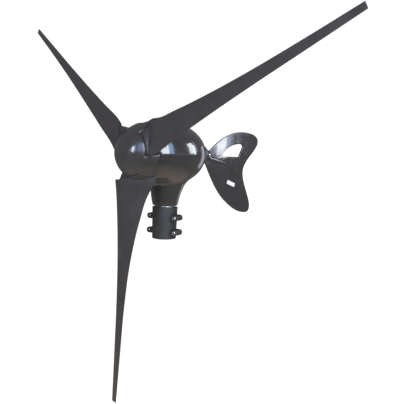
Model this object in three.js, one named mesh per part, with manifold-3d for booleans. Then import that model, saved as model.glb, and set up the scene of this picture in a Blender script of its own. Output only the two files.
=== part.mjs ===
// Small horizontal-axis wind turbine: three blades, egg-shaped nacelle with a built-in
// alternator, fish-tail vane and a two-half clamp that grips the top of a mast pipe.
//
// Millimetres, +Z up. The origin is on the mast axis at the clamp's bottom face.
// The nose points to -Y, the tail to +Y, and +X is to the right seen from the front.

import * as THREE from "three";
import { mergeVertices } from "three/addons/utils/BufferGeometryUtils.js";
import Module from "manifold-3d";

const wasm = await Module();
wasm.setup();

// ---------------------------------------------------------------- driving dimensions

const GAP = 0.3; // clearance kept between touching pieces
const SHAFT_Z = 205; // height of the rotor shaft above the clamp's bottom face

// Mast clamp: two equal half shells, each with four screw lugs, a little wider at the top.
const CLAMP = {
  bottomRadius: 29,
  topRadius: 30.8,
  bore: 24.3,
  height: 76,
  splitHalf: 1,
  turn: THREE.MathUtils.degToRad(10),
};
const LUG = { reach: 39, radius: 7, outerFace: 12, heights: [17, 52] };
const CLAMP_SCREW = { radius: 3, headRadius: 5, headLength: 6, hexRadius: 2.9, hexDepth: 3 };

// Yaw spindle: a hollow post clamped above the mast pipe, with two 25 x 47 x 12 bearings.
const PIPE_STOP_Z = 43; // underside of the spindle, where the mast pipe ends
const SPINDLE = {
  footRadius: 24,
  flangeRadius: 25.5,
  flangeTop: 79.3,
  stemRadius: 12.5,
  cableRadius: 6,
  top: 127,
};
const YAW_BEARING = { inner: 12.5, outer: 23.5, width: 12, lowZ: 86, highZ: 108 };
const CIRCLIP_GROOVE = 1.8; // height of the groove under the lower bearing
const NECK = { bottom: 80.3, boreTop: 120.3, throatRadius: 20, pocketFloor: 127, pocketRadius: 29, top: 138 };
const NECK_SWEEP = { from: 97, share: 0.6, power: 1.5 }; // how the back of the neck runs into the belly

// Slip rings on top of the spindle carry the three phases to the mast cable.
const SLIP = { coreRadius: 10.5, coreTop: 147.6, ringRadius: 13, ringHeight: 3, firstZ: 135.9, pitch: 4.2 };

// Nacelle casting: an ellipsoid about the shaft, open at the front.
const EGG = { halfLength: 112, radius: 78, wall: 4, frontY: -75, rearY: 116, rearRadius: 26 };
const TAIL_STUD_RADIUS = 7; // the tail socket's stud, through the rear of the egg
const SEAT = { radius: 52.3, outer: 55.5, rearY: 12 }; // sleeve that holds the stator

// Alternator inside the sleeve.
const STATOR = { outer: 52, inner: 38, frontY: -45, rearY: -5, slots: 12 };
const MAGNETS = { outer: 37.3, inner: 32 };
const SHAFT = { radius: 7.5, frontY: -124, rearY: 22 };
const ROTOR_BEARING = { outer: 17.5, width: 11, frontY: -66, rearY: 8 };
const FRONT_PLATE = { radius: 57.5, thickness: 4, screwCircle: 54.8, screwRadius: 1.5 };

// Rotor head: blade roots clamped between two steel plates, under a nose cone.
const ROTOR_Y = -98; // rotor plane
const ROTOR_RADIUS = 600;
const BLADE_ANGLES = [-95.8, 24.2, 144.2].map(THREE.MathUtils.degToRad); // from +X towards +Z
const ROOT_PAD = { from: 16, to: 57, halfWidth: 23, halfThickness: 5 };
const HEAD_PLATE = { radius: 50, thickness: 5 };
const BLADE_BOLT = { radius: 3, headRadius: 5, headLength: 5, hexRadius: 2.9, hexDepth: 2.5 };
const BLADE_BOLT_PLACES = [27, 43]; // distances from the shaft
const CONE = { centreY: -48.3, halfLength: 96.5, radius: 78.3, power: 1.79, rimY: -85, wall: 2.5 };
const NOTCH = { frontY: -111.5, leading: 28, trailingFront: -31, trailingRear: -47 };
const CUFF = { sunk: 0.8, inset: 0.4 }; // the blade root's filling of its notch
const CONE_BOSS = { circle: 40, radius: 4, screwRadius: 2 };

// Tail: a flat vane in the plane x = 0, held in a slotted cone.
const TAIL = { halfThickness: 2.5, flangeY: 121, tipY: 150, tipRadius: 11, slotY: 123.5 };
const LABEL = { halfLength: 17, halfHeight: 5.5, thickness: 0.4, tiltDegrees: 18, y: 242, drop: 78 };

// Facets round a full turn.
const FINE = 32;
const MEDIUM = 24;
const COARSE = 16;
const SCREW = 8;

// ---------------------------------------------------------------- materials

const BLACK_GLOSS = new THREE.MeshStandardMaterial({ color: 0x0c0c0f, roughness: 0.12, metalness: 0.1 });
const BLACK_SATIN = new THREE.MeshStandardMaterial({ color: 0x1a191c, roughness: 0.45, metalness: 0.05 });
const BLADE_NYLON = new THREE.MeshStandardMaterial({ color: 0x1f1d21, roughness: 0.5, metalness: 0 });
const STEEL = new THREE.MeshStandardMaterial({ color: 0xb8babd, roughness: 0.3, metalness: 1 });
const ALUMINIUM = new THREE.MeshStandardMaterial({ color: 0xc4c6c9, roughness: 0.4, metalness: 1 });
const BRASS = new THREE.MeshStandardMaterial({ color: 0xc9a24b, roughness: 0.3, metalness: 1 });
const COPPER_VARNISH = new THREE.MeshStandardMaterial({ color: 0x8a4a26, roughness: 0.35, metalness: 0.6 });
const LAMINATION = new THREE.MeshStandardMaterial({ color: 0x565a5e, roughness: 0.5, metalness: 0.9 });
const MAGNET = new THREE.MeshStandardMaterial({ color: 0x8b8e92, roughness: 0.35, metalness: 0.9 });
const CARBON = new THREE.MeshStandardMaterial({ color: 0x151515, roughness: 0.7, metalness: 0.1 });
const INSULATOR = new THREE.MeshStandardMaterial({ color: 0x2b2420, roughness: 0.6, metalness: 0 });
const RUBBER = new THREE.MeshStandardMaterial({ color: 0x111111, roughness: 0.8, metalness: 0 });
const LABEL_WHITE = new THREE.MeshStandardMaterial({ color: 0xe8e8e6, roughness: 0.4, metalness: 0 });

// ---------------------------------------------------------------- solid helpers

// A closed geometry as a manifold solid, for joining and cutting.
function solid(geometry) {
  const bare = new THREE.BufferGeometry();
  const source = geometry.index ? geometry.toNonIndexed() : geometry;
  bare.setAttribute("position", source.getAttribute("position"));
  const merged = mergeVertices(bare, 1e-4);
  return new wasm.Manifold(
    new wasm.Mesh({
      numProp: 3,
      vertProperties: merged.attributes.position.array,
      triVerts: new Uint32Array(merged.index.array),
    }),
  );
}

// A manifold solid as a three.js geometry with flat normals.
function geometryOf(made) {
  const mesh = made.getMesh();
  const positions = new Float32Array(mesh.numVert * 3);
  for (let i = 0; i < mesh.numVert; i++) {
    positions.set(mesh.vertProperties.subarray(i * mesh.numProp, i * mesh.numProp + 3), i * 3);
  }
  const indexed = new THREE.BufferGeometry();
  indexed.setAttribute("position", new THREE.BufferAttribute(positions, 3));
  indexed.setIndex(new THREE.BufferAttribute(mesh.triVerts, 1));
  const geometry = indexed.toNonIndexed();
  geometry.computeVertexNormals();
  return geometry;
}

function cut(base, ...tools) {
  return geometryOf(tools.reduce((rest, tool) => rest.subtract(solid(tool)), solid(base)));
}

function join(first, ...others) {
  return geometryOf(others.reduce((sum, other) => sum.add(solid(other)), solid(first)));
}

// Turns a closed [radius, height] outline about +Y, whichever way round it is listed.
function turnedY(outline, segments = COARSE) {
  const points = outline.map(([r, h]) => new THREE.Vector2(r, h));
  if (THREE.ShapeUtils.area(points) < 0) points.reverse();
  const onAxis = points.filter((p) => p.x === 0).length === 2;
  if (onAxis) {
    while (!(points[0].x === 0 && points[points.length - 1].x === 0)) points.push(points.shift());
  } else {
    points.push(points[0].clone());
  }
  return new THREE.LatheGeometry(points, segments);
}

// The same about +Z, for everything on the mast axis.
function turnedZ(outline, segments = COARSE) {
  return turnedY(outline, segments).rotateX(Math.PI / 2);
}

// The same about the rotor shaft.
function turnedShaft(outline, segments = COARSE) {
  return turnedY(outline, segments).translate(0, 0, SHAFT_Z);
}

const ringOutline = (inner, outer, low, high) => [
  [inner, low],
  [outer, low],
  [outer, high],
  [inner, high],
];

// A box given by its lowest and highest corners.
function box(low, high) {
  const size = high.map((value, i) => value - low[i]);
  const centre = high.map((value, i) => (value + low[i]) / 2);
  return new THREE.BoxGeometry(...size).translate(...centre);
}

// A rod of radius r from height low to high, along +Y through the origin.
function rodY(radius, low, high, segments = SCREW) {
  return new THREE.CylinderGeometry(radius, radius, high - low, segments).translate(0, (low + high) / 2, 0);
}

// Rolled bearing outline: two races with a shallow recess where the shield sits.
function bearingOutline(inner, outer, low, high) {
  const race = (outer - inner) * 0.26;
  const recess = 0.8;
  const middle = (inner + outer) / 2;
  return [
    [inner + GAP, low],
    [inner + race, low],
    [middle, low + recess],
    [outer - race, low],
    [outer - GAP, low],
    [outer - GAP, high],
    [outer - race, high],
    [middle, high - recess],
    [inner + race, high],
    [inner + GAP, high],
  ];
}

// Socket-head screw along +Y: the head's underside is at y = 0 and the shank points to +Y.
function socketScrew({ radius, headRadius, headLength, hexRadius, hexDepth }, length) {
  const body = turnedY([
    [0, -headLength],
    [headRadius, -headLength],
    [headRadius, 0],
    [radius, 0],
    [radius, length - radius * 0.3],
    [radius * 0.7, length],
    [0, length],
  ], SCREW);
  const key = rodY(hexRadius, -headLength - 1, -headLength + hexDepth, 6);
  return cut(body, key);
}

const part = new THREE.Group();

function add(parent, name, geometry, material) {
  const mesh = new THREE.Mesh(geometry, material);
  mesh.name = name;
  parent.add(mesh);
  return mesh;
}

// ---------------------------------------------------------------- mast clamp

// One half shell, on the side y < 0 of the split, with a hole through each lug. The same
// shell turned half round makes the other half.
function clampHalf() {
  const { bottomRadius, topRadius, bore, height, splitHalf } = CLAMP;
  const chamfer = 1;
  const tube = turnedZ([
    [bore - 2, 0],
    [bottomRadius - chamfer, 0],
    [bottomRadius, chamfer],
    [topRadius, height - chamfer],
    [topRadius - chamfer, height],
    [bore - 2, height],
  ], FINE);
  const pieces = [];
  const holes = [];
  for (const side of [1, -1]) {
    for (const z of LUG.heights) {
      const outline = new THREE.Shape();
      outline.moveTo(side * (bore - 1), z - side * LUG.radius);
      outline.lineTo(side * LUG.reach, z - side * LUG.radius);
      outline.absarc(side * LUG.reach, z, LUG.radius, (-side * Math.PI) / 2, (side * Math.PI) / 2, false);
      outline.lineTo(side * (bore - 1), z + side * LUG.radius);
      outline.closePath();
      const depth = LUG.outerFace - splitHalf;
      const lug = new THREE.ExtrudeGeometry(outline, { depth, bevelEnabled: false, curveSegments: 6 });
      pieces.push(lug.rotateX(Math.PI / 2).translate(0, -splitHalf, 0));
      const hole = rodY(CLAMP_SCREW.radius + GAP, -LUG.outerFace - 5, 5);
      holes.push(hole.translate(side * LUG.reach, 0, z));
    }
  }
  const away = box([-60, -splitHalf, -5], [60, 60, height + 5]);
  const mastBore = rodY(bore, -5, height + 5, FINE).rotateX(Math.PI / 2);
  return cut(join(tube, ...pieces), away, mastBore, ...holes);
}

function addMastClamp() {
  const clamp = new THREE.Group();
  clamp.rotation.z = CLAMP.turn;
  part.add(clamp);
  const half = clampHalf();
  add(clamp, "clamp_half_front", half, BLACK_SATIN);
  add(clamp, "clamp_half_rear", half, BLACK_SATIN).rotation.z = Math.PI;
  const screw = socketScrew(CLAMP_SCREW, 2 * LUG.outerFace);
  for (const [i, side] of ["right", "left"].entries()) {
    for (const [j, z] of LUG.heights.entries()) {
      const level = ["lower", "upper"][j];
      const holder = new THREE.Group();
      holder.rotation.z = i * Math.PI;
      clamp.add(holder);
      const mesh = add(holder, `clamp_screw_${side}_${level}`, screw, STEEL);
      mesh.position.set(LUG.reach, -LUG.outerFace - GAP, z);
    }
  }
}

// ---------------------------------------------------------------- yaw spindle and slip rings

function addSpindle() {
  const { footRadius, flangeRadius, flangeTop, stemRadius, cableRadius, top } = SPINDLE;
  const flangeBottom = CLAMP.height + GAP;
  const shoulder = YAW_BEARING.lowZ - GAP;
  const spindle = turnedZ([
    [cableRadius, PIPE_STOP_Z],
    [footRadius, PIPE_STOP_Z],
    [footRadius, flangeBottom],
    [flangeRadius, flangeBottom],
    [flangeRadius, flangeTop],
    [stemRadius + 3.5, flangeTop],
    [stemRadius + 3.5, shoulder],
    [stemRadius, shoulder],
    [stemRadius, top],
    [cableRadius, top],
  ], MEDIUM);
  add(part, "yaw_spindle", spindle, STEEL);

  const spacerLow = YAW_BEARING.lowZ + YAW_BEARING.width + GAP;
  const spacer = turnedZ(ringOutline(stemRadius + GAP, stemRadius + 3, spacerLow, YAW_BEARING.highZ - GAP));
  add(part, "yaw_bearing_spacer", spacer, STEEL);

  const nutLow = YAW_BEARING.highZ + YAW_BEARING.width + GAP;
  const nutHigh = nutLow + 5.5;
  const nutBody = turnedZ(ringOutline(stemRadius + GAP, stemRadius + 5, nutLow, nutHigh));
  const slots = [0, 1, 2, 3].map((i) =>
    box([-1.5, stemRadius + 2.5, nutLow - 1], [1.5, stemRadius + 6, nutHigh + 1]).rotateZ((i * Math.PI) / 2));
  add(part, "yaw_retaining_nut", cut(nutBody, ...slots), STEEL);

  const core = turnedZ(ringOutline(cableRadius, SLIP.coreRadius, top + GAP, SLIP.coreTop));
  add(part, "slip_ring_core", core, INSULATOR);
  for (let i = 0; i < 3; i++) {
    const z = SLIP.firstZ + i * SLIP.pitch;
    const low = z - SLIP.ringHeight / 2;
    const high = z + SLIP.ringHeight / 2;
    const ring = turnedZ(ringOutline(SLIP.coreRadius + GAP, SLIP.ringRadius, low, high));
    add(part, `slip_ring_${i + 1}`, ring, BRASS);
  }
}

// ---------------------------------------------------------------- nacelle

// Radius of the egg at a place along the shaft.
const eggRadius = (y, shrink = 0) => {
  const ratio = y / (EGG.halfLength - shrink);
  return (EGG.radius - shrink) * Math.sqrt(Math.max(0, 1 - ratio * ratio));
};

function eggOutline() {
  const points = [[0, EGG.frontY]];
  const steps = 10;
  const lastY = 98;
  for (let i = 0; i <= steps; i++) {
    const y = THREE.MathUtils.lerp(EGG.frontY, lastY, i / steps);
    points.push([eggRadius(y), y]);
  }
  // Concave run-out to the round pad that carries the tail.
  const runOut = new THREE.CubicBezierCurve(
    new THREE.Vector2(eggRadius(lastY), lastY),
    new THREE.Vector2(eggRadius(lastY) - 6.5, lastY + 6),
    new THREE.Vector2(EGG.rearRadius + 1, lastY + 12),
    new THREE.Vector2(EGG.rearRadius, EGG.rearY),
  );
  for (const p of runOut.getPoints(3).slice(1)) points.push([p.x, p.y]);
  points.push([0, EGG.rearY]);
  return points;
}

function eggCavityOutline() {
  const points = [[0, EGG.frontY + 8]];
  const steps = 6;
  const lastY = 104;
  for (let i = 0; i <= steps; i++) {
    const y = THREE.MathUtils.lerp(EGG.frontY + 8, lastY, i / steps);
    points.push([eggRadius(y, EGG.wall), y]);
  }
  points.push([0, lastY]);
  return points;
}

// Neck: a flared trunk from the yaw seat up into the belly of the egg. Its back is swept
// further and further to the rear towards the top.
function neckTrunk() {
  const trunk = turnedZ([
    [0, NECK.bottom],
    [29.8, NECK.bottom],
    [30.6, NECK.bottom + 1],
    [32.3, 89],
    [34.4, 100],
    [36.2, 113],
    [37.3, 126],
    [38, NECK.top],
    [0, NECK.top],
  ], MEDIUM);
  const place = trunk.getAttribute("position");
  for (let i = 0; i < place.count; i++) {
    const rise = Math.max(0, (place.getZ(i) - NECK_SWEEP.from) / (NECK.top - NECK_SWEEP.from));
    const stretch = 1 + NECK_SWEEP.share * Math.pow(rise, NECK_SWEEP.power);
    if (place.getY(i) > 0) place.setY(i, place.getY(i) * stretch);
  }
  return trunk;
}

function nacelleHousing() {
  const egg = turnedShaft(eggOutline(), FINE);
  const cavity = turnedShaft(eggCavityOutline(), MEDIUM);
  const sleeve = turnedShaft(ringOutline(SEAT.radius - 2, SEAT.outer, EGG.frontY, SEAT.rearY), MEDIUM);
  const neck = neckTrunk();
  const ribs = [];
  for (let i = 0; i < 6; i++) {
    const rib = box([-2, EGG.frontY + 6, SEAT.outer - 1], [2, SEAT.rearY, EGG.radius - 2.5]);
    ribs.push(rib.rotateY(THREE.MathUtils.degToRad(30 + 60 * i)).translate(0, 0, SHAFT_Z));
  }

  const shell = solid(egg).add(solid(neck));
  const hollow = solid(cavity).subtract(solid(sleeve));
  const carved = ribs.reduce((rest, rib) => rest.subtract(solid(rib)), hollow);
  const opened = shell
    .subtract(carved)
    .subtract(solid(rodY(SEAT.radius, EGG.frontY - 5, SEAT.rearY + 1, MEDIUM).translate(0, 0, SHAFT_Z)))
    .subtract(solid(turnedZ(yawBoreOutline(), MEDIUM)))
    .subtract(solid(rodY(TAIL_STUD_RADIUS + 1, 90, 130).translate(0, 0, SHAFT_Z)));
  const screwHoles = frontScrewPlaces().map(([x, z]) =>
    solid(rodY(FRONT_PLATE.screwRadius + GAP, EGG.frontY - 5, EGG.frontY + 12).translate(x, 0, z)));
  return geometryOf(screwHoles.reduce((rest, hole) => rest.subtract(hole), opened));
}

// Bore for the seal, the circlip groove and both bearings, with a stop above the upper one
// and a round pocket for the slip rings and brushes above that.
function yawBoreOutline() {
  const bore = YAW_BEARING.outer;
  const grooveHigh = YAW_BEARING.lowZ - GAP;
  const grooveLow = grooveHigh - CIRCLIP_GROOVE;
  return [
    [0, NECK.bottom - 5],
    [bore, NECK.bottom - 5],
    [bore, grooveLow],
    [bore + 1.2, grooveLow],
    [bore + 1.2, grooveHigh],
    [bore, grooveHigh],
    [bore, NECK.boreTop],
    [NECK.throatRadius, NECK.boreTop],
    [NECK.throatRadius, NECK.pocketFloor],
    [NECK.pocketRadius, NECK.pocketFloor],
    [NECK.pocketRadius, SHAFT_Z - SEAT.outer - 1],
    [0, SHAFT_Z - SEAT.outer - 1],
  ];
}

function frontScrewPlaces() {
  return [0, 1, 2, 3].map((i) => {
    const angle = Math.PI / 4 + (i * Math.PI) / 2;
    return [FRONT_PLATE.screwCircle * Math.cos(angle), SHAFT_Z + FRONT_PLATE.screwCircle * Math.sin(angle)];
  });
}

function addNacelle() {
  add(part, "nacelle_housing", nacelleHousing(), BLACK_GLOSS);

  for (const [name, z] of [["lower", YAW_BEARING.lowZ], ["upper", YAW_BEARING.highZ]]) {
    const outline = bearingOutline(YAW_BEARING.inner, YAW_BEARING.outer, z, z + YAW_BEARING.width);
    add(part, `yaw_bearing_${name}`, turnedZ(outline, MEDIUM), STEEL);
  }

  const sealHigh = YAW_BEARING.lowZ - CIRCLIP_GROOVE - 2 * GAP;
  const seal = turnedZ([
    [SPINDLE.stemRadius + 3.5 + GAP, NECK.bottom + 1],
    [YAW_BEARING.outer - GAP, NECK.bottom + 0.5],
    [YAW_BEARING.outer - GAP, sealHigh],
    [SPINDLE.stemRadius + 5.5, sealHigh],
  ], MEDIUM);
  add(part, "yaw_dust_seal", seal, RUBBER);

  const clipOutline = new THREE.Shape();
  const clipEnd = THREE.MathUtils.degToRad(12);
  clipOutline.absarc(0, 0, YAW_BEARING.outer + 0.8, clipEnd, 2 * Math.PI - clipEnd, false);
  clipOutline.absarc(0, 0, YAW_BEARING.outer - 2.5, 2 * Math.PI - clipEnd, clipEnd, true);
  clipOutline.closePath();
  const depth = CIRCLIP_GROOVE - 2 * GAP;
  const clip = new THREE.ExtrudeGeometry(clipOutline, { depth, bevelEnabled: false, curveSegments: 12 });
  add(part, "yaw_bearing_circlip", clip.translate(0, 0, YAW_BEARING.lowZ - CIRCLIP_GROOVE), STEEL);
}

// ---------------------------------------------------------------- brushes

function addBrushes() {
  const holderFront = 17.5;
  const holderRear = 27;
  const brushFront = SLIP.ringRadius + GAP;
  const brushRear = 25;
  const brushHalf = [2, 1.2];
  const slots = [];
  for (let i = 0; i < 3; i++) {
    const z = SLIP.firstZ + i * SLIP.pitch;
    const low = [-brushHalf[0], brushFront, z - brushHalf[1]];
    const high = [brushHalf[0], brushRear, z + brushHalf[1]];
    const brush = box(low, high);
    add(part, `brush_${i + 1}`, brush, CARBON);
    const sideGap = brushHalf[0] + GAP;
    const heightGap = brushHalf[1] + GAP;
    slots.push(box([-sideGap, holderFront - 1, z - heightGap], [sideGap, brushRear + GAP, z + heightGap]));
  }
  const floor = NECK.pocketFloor + GAP;
  const holder = cut(box([-8, holderFront, floor], [8, holderRear, SLIP.coreTop]), ...slots);
  add(part, "brush_holder", holder, INSULATOR);
}

// ---------------------------------------------------------------- alternator

function statorCore() {
  const outline = new THREE.Shape();
  outline.absarc(0, 0, STATOR.outer, 0, 2 * Math.PI, false);
  const hole = new THREE.Path();
  const pitch = (2 * Math.PI) / STATOR.slots;
  const slotFloor = STATOR.outer - 4;
  for (let i = 0; i < STATOR.slots; i++) {
    const at = i * pitch;
    for (const [radius, turn] of [
      [STATOR.inner, -0.42],
      [STATOR.inner, -0.1],
      [slotFloor, -0.25],
      [slotFloor, 0.25],
      [STATOR.inner, 0.1],
    ]) {
      const angle = at + turn * pitch;
      const point = [radius * Math.cos(angle), radius * Math.sin(angle)];
      if (i === 0 && turn === -0.42) hole.moveTo(...point);
      else hole.lineTo(...point);
    }
  }
  hole.closePath();
  outline.holes.push(hole);
  const depth = STATOR.rearY - STATOR.frontY;
  const core = new THREE.ExtrudeGeometry(outline, { depth, bevelEnabled: false, curveSegments: 12 });
  return core.rotateX(Math.PI / 2).translate(0, STATOR.rearY, SHAFT_Z);
}

// Rounded bundle of end turns, from one face of the core outwards.
function endTurns(faceY, outwards) {
  const outline = [];
  const middle = (STATOR.inner + STATOR.outer) / 2;
  for (let i = 0; i < 8; i++) {
    const angle = (i / 8) * 2 * Math.PI;
    const y = faceY + outwards * (5.5 + GAP) + 5.5 * Math.sin(angle);
    outline.push([middle - 1 + 5 * Math.cos(angle), y]);
  }
  return turnedShaft(outline, MEDIUM);
}

function frontPlate() {
  const low = EGG.frontY - GAP - FRONT_PLATE.thickness;
  const high = EGG.frontY - GAP;
  const seat = ROTOR_BEARING.outer;
  const plate = turnedShaft([
    [SHAFT.radius + 2, low],
    [FRONT_PLATE.radius - 1.5, low],
    [FRONT_PLATE.radius, low + 1.5],
    [FRONT_PLATE.radius, high],
    [SEAT.radius - GAP, high],
    [SEAT.radius - GAP, high + 4],
    [SEAT.radius - 4, high + 4],
    [seat + 9, high + 2],
    [seat + 4, ROTOR_BEARING.frontY + ROTOR_BEARING.width],
    [seat, ROTOR_BEARING.frontY + ROTOR_BEARING.width],
    [seat, ROTOR_BEARING.frontY - GAP],
    [SHAFT.radius + 2, ROTOR_BEARING.frontY - GAP],
  ], MEDIUM);
  const holes = frontScrewPlaces().map(([x, z]) => 
    rodY(FRONT_PLATE.screwRadius + GAP, low - 5, high + 5).translate(x, 0, z));
  return cut(plate, ...holes);
}

function rearPlate() {
  const low = ROTOR_BEARING.rearY;
  const seat = ROTOR_BEARING.outer;
  const rear = low + ROTOR_BEARING.width;
  return turnedShaft([
    [seat, low],
    [SEAT.radius - GAP, low],
    [SEAT.radius - GAP, low + 3.5],
    [seat + 8, low + 3.5],
    [seat + 4, rear + 3.5],
    [SHAFT.radius + 2, rear + 3.5],
    [SHAFT.radius + 2, rear + GAP],
    [seat, rear + GAP],
  ], MEDIUM);
}

function addAlternator() {
  add(part, "stator_core", statorCore(), LAMINATION);
  add(part, "stator_winding_front", endTurns(STATOR.frontY, -1), COPPER_VARNISH);
  add(part, "stator_winding_rear", endTurns(STATOR.rearY, 1), COPPER_VARNISH);
  add(part, "alternator_front_plate", frontPlate(), ALUMINIUM);
  add(part, "alternator_rear_plate", rearPlate(), ALUMINIUM);
  for (const [name, y] of [["front", ROTOR_BEARING.frontY], ["rear", ROTOR_BEARING.rearY]]) {
    const outline = bearingOutline(SHAFT.radius, ROTOR_BEARING.outer, y, y + ROTOR_BEARING.width);
    add(part, `rotor_bearing_${name}`, turnedShaft(outline), STEEL);
  }
  const { screwRadius } = FRONT_PLATE;
  const screwSize = { radius: screwRadius, headRadius: 2.7, headLength: 2.5, hexRadius: 1.4, hexDepth: 1.3 };
  const screw = socketScrew(screwSize, 14);
  for (const [i, [x, z]] of frontScrewPlaces().entries()) {
    const mesh = add(part, `front_plate_screw_${i + 1}`, screw, STEEL);
    mesh.position.set(x, EGG.frontY - 2 * GAP - FRONT_PLATE.thickness, z);
  }
}

// ---------------------------------------------------------------- rotor

function addRotorDrive() {
  const { radius, frontY, rearY } = SHAFT;
  const shaft = turnedShaft([
    [0, frontY],
    [radius - 1, frontY],
    [radius, frontY + 1],
    [radius, rearY - 1],
    [radius - 1, rearY],
    [0, rearY],
  ]);
  add(part, "main_shaft", shaft, STEEL);

  const inner = radius + GAP;
  const rim = MAGNETS.inner - GAP;
  const webMiddle = (STATOR.frontY + STATOR.rearY) / 2;
  const core = turnedShaft([
    [inner, STATOR.frontY + 4],
    [13, STATOR.frontY + 4],
    [13, webMiddle - 5],
    [rim - 5, webMiddle - 5],
    [rim - 5, STATOR.frontY],
    [rim, STATOR.frontY],
    [rim, STATOR.rearY],
    [rim - 5, STATOR.rearY],
    [rim - 5, webMiddle + 5],
    [13, webMiddle + 5],
    [13, STATOR.rearY - 4],
    [inner, STATOR.rearY - 4],
  ], MEDIUM);
  add(part, "magnet_carrier", core, LAMINATION);
  const magnets = turnedShaft(ringOutline(MAGNETS.inner, MAGNETS.outer, STATOR.frontY, STATOR.rearY), MEDIUM);
  add(part, "magnet_ring", magnets, MAGNET);
}

// Turns what is drawn for a blade that points along +X, with the shaft at the origin, to the
// blade's own angle. In such a drawing +Y is downwind and +Z is against the turning direction.
function toBladeAngle(geometry, angle) {
  return geometry.rotateY(-angle).translate(0, 0, SHAFT_Z);
}

function addRotorHead() {
  const padFront = ROTOR_Y - ROOT_PAD.halfThickness - GAP;
  const padRear = ROTOR_Y + ROOT_PAD.halfThickness + GAP;
  const plateFront = padFront - HEAD_PLATE.thickness;
  const plateRear = padRear + HEAD_PLATE.thickness;
  const halfPitch = Math.PI / 3;

  const hubPlate = turnedShaft([
    [SHAFT.radius + GAP, padRear],
    [HEAD_PLATE.radius, padRear],
    [HEAD_PLATE.radius, plateRear],
    [15, plateRear],
    [15, plateRear + 5],
    [SHAFT.radius + GAP, plateRear + 5],
  ], MEDIUM);
  const clampPlateRing = ringOutline(SHAFT.radius + GAP, HEAD_PLATE.radius, plateFront, padFront);
  const clampPlate = turnedShaft(clampPlateRing, MEDIUM);
  const boltHoles = [];
  const bossHoles = [];
  const screwHoles = [];
  for (const angle of BLADE_ANGLES) {
    for (const r of BLADE_BOLT_PLACES) {
      boltHoles.push(toBladeAngle(rodY(BLADE_BOLT.radius + GAP, -130, -80).translate(r, 0, 0), angle));
    }
    const between = angle + halfPitch;
    const bossHole = rodY(CONE_BOSS.radius + GAP, -130, -80).translate(CONE_BOSS.circle, 0, 0);
    const screwHole = rodY(CONE_BOSS.screwRadius + GAP, -130, -80).translate(CONE_BOSS.circle, 0, 0);
    bossHoles.push(toBladeAngle(bossHole, between));
    screwHoles.push(toBladeAngle(screwHole, between));
  }
  add(part, "hub_plate", cut(hubPlate, ...boltHoles, ...screwHoles), STEEL);
  add(part, "blade_clamp_plate", cut(clampPlate, ...boltHoles, ...bossHoles), STEEL);

  const bolt = socketScrew(BLADE_BOLT, plateRear - plateFront + 1);
  const { screwRadius } = CONE_BOSS;
  const coneScrewSize = { radius: screwRadius, headRadius: 3.5, headLength: 3, hexRadius: 1.8, hexDepth: 1.6 };
  const coneScrew = socketScrew(coneScrewSize, 16).rotateX(Math.PI);
  for (const [i, angle] of BLADE_ANGLES.entries()) {
    for (const [j, r] of BLADE_BOLT_PLACES.entries()) {
      const name = `blade_bolt_${i + 1}_${["inner", "outer"][j]}`;
      add(part, name, toBladeAngle(bolt.clone().translate(r, plateFront - GAP, 0), angle), STEEL);
    }
    const screw = coneScrew.clone().translate(CONE_BOSS.circle, plateRear + GAP, 0);
    add(part, `nose_cone_screw_${i + 1}`, toBladeAngle(screw, angle + halfPitch), STEEL);
  }

  const washerFront = plateFront - GAP - 2;
  const washer = turnedShaft(ringOutline(SHAFT.radius + GAP, 13, washerFront, plateFront - GAP));
  add(part, "shaft_washer", washer, STEEL);
  const nutBody = rodY(12, washerFront - GAP - 9, washerFront - GAP, 6);
  const nutBore = rodY(SHAFT.radius + GAP, -150, -90, COARSE);
  add(part, "shaft_nut", cut(nutBody, nutBore).translate(0, 0, SHAFT_Z), STEEL);
}

// ---------------------------------------------------------------- blades

// Stations along a blade: the leading and the trailing edge as [distance from the shaft,
// towards the turning direction, downwind of the rotor plane], and the greatest thickness.
const BLADE_STATIONS = [
  { lead: [68, 37.5, -21], trail: [46, -60, 19.8], thick: 9 },
  { lead: [78, 37.3, -19], trail: [72, -54.8, 13.3], thick: 9 },
  { lead: [90, 36.5, -16.8], trail: [90, -47.5, 10.5], thick: 9 },
  { lead: [150, 29.6, -11.6], trail: [150, -35.3, 4], thick: 8 },
  { lead: [240, 22.1, -5.3], trail: [240, -22.5, -0.2], thick: 6.2 },
  { lead: [360, 15.6, 0.6], trail: [360, -13.3, 1.6], thick: 4.4 },
  { lead: [480, 11.5, 5.2], trail: [480, -9.5, 6.2], thick: 3.2 },
  { lead: [ROTOR_RADIUS, 7.3, 9.5], trail: [ROTOR_RADIUS, -7.3, 10], thick: 2.2 },
];

// The root fairing leads from the cone's skin out to the first station.
const FAIRING_STATIONS = [
  { lead: [50, 35.5, -3], trail: [36, -60, 10], thick: 14 },
  { lead: [67, 29, -15], trail: [47.5, -59.3, 19], thick: 11 },
];

// Smooth curve through one measure of every station.
function stationCurve(stations, read) {
  return new THREE.CatmullRomCurve3(stations.map((s) => new THREE.Vector3(...read(s))), false);
}

// Aerofoil outline round the chord, from the trailing edge over the suction (downwind) face
// and back along the upwind face: share of the chord from the leading edge, and share of
// the thickness.
const AEROFOIL = [
  [1, 0.06],
  [0.8, 0.32],
  [0.55, 0.62],
  [0.3, 0.72],
  [0.12, 0.58],
  [0.03, 0.3],
  [0, 0],
  [0.03, -0.2],
  [0.15, -0.28],
  [0.45, -0.22],
  [0.8, -0.1],
  [1, -0.06],
];

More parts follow.
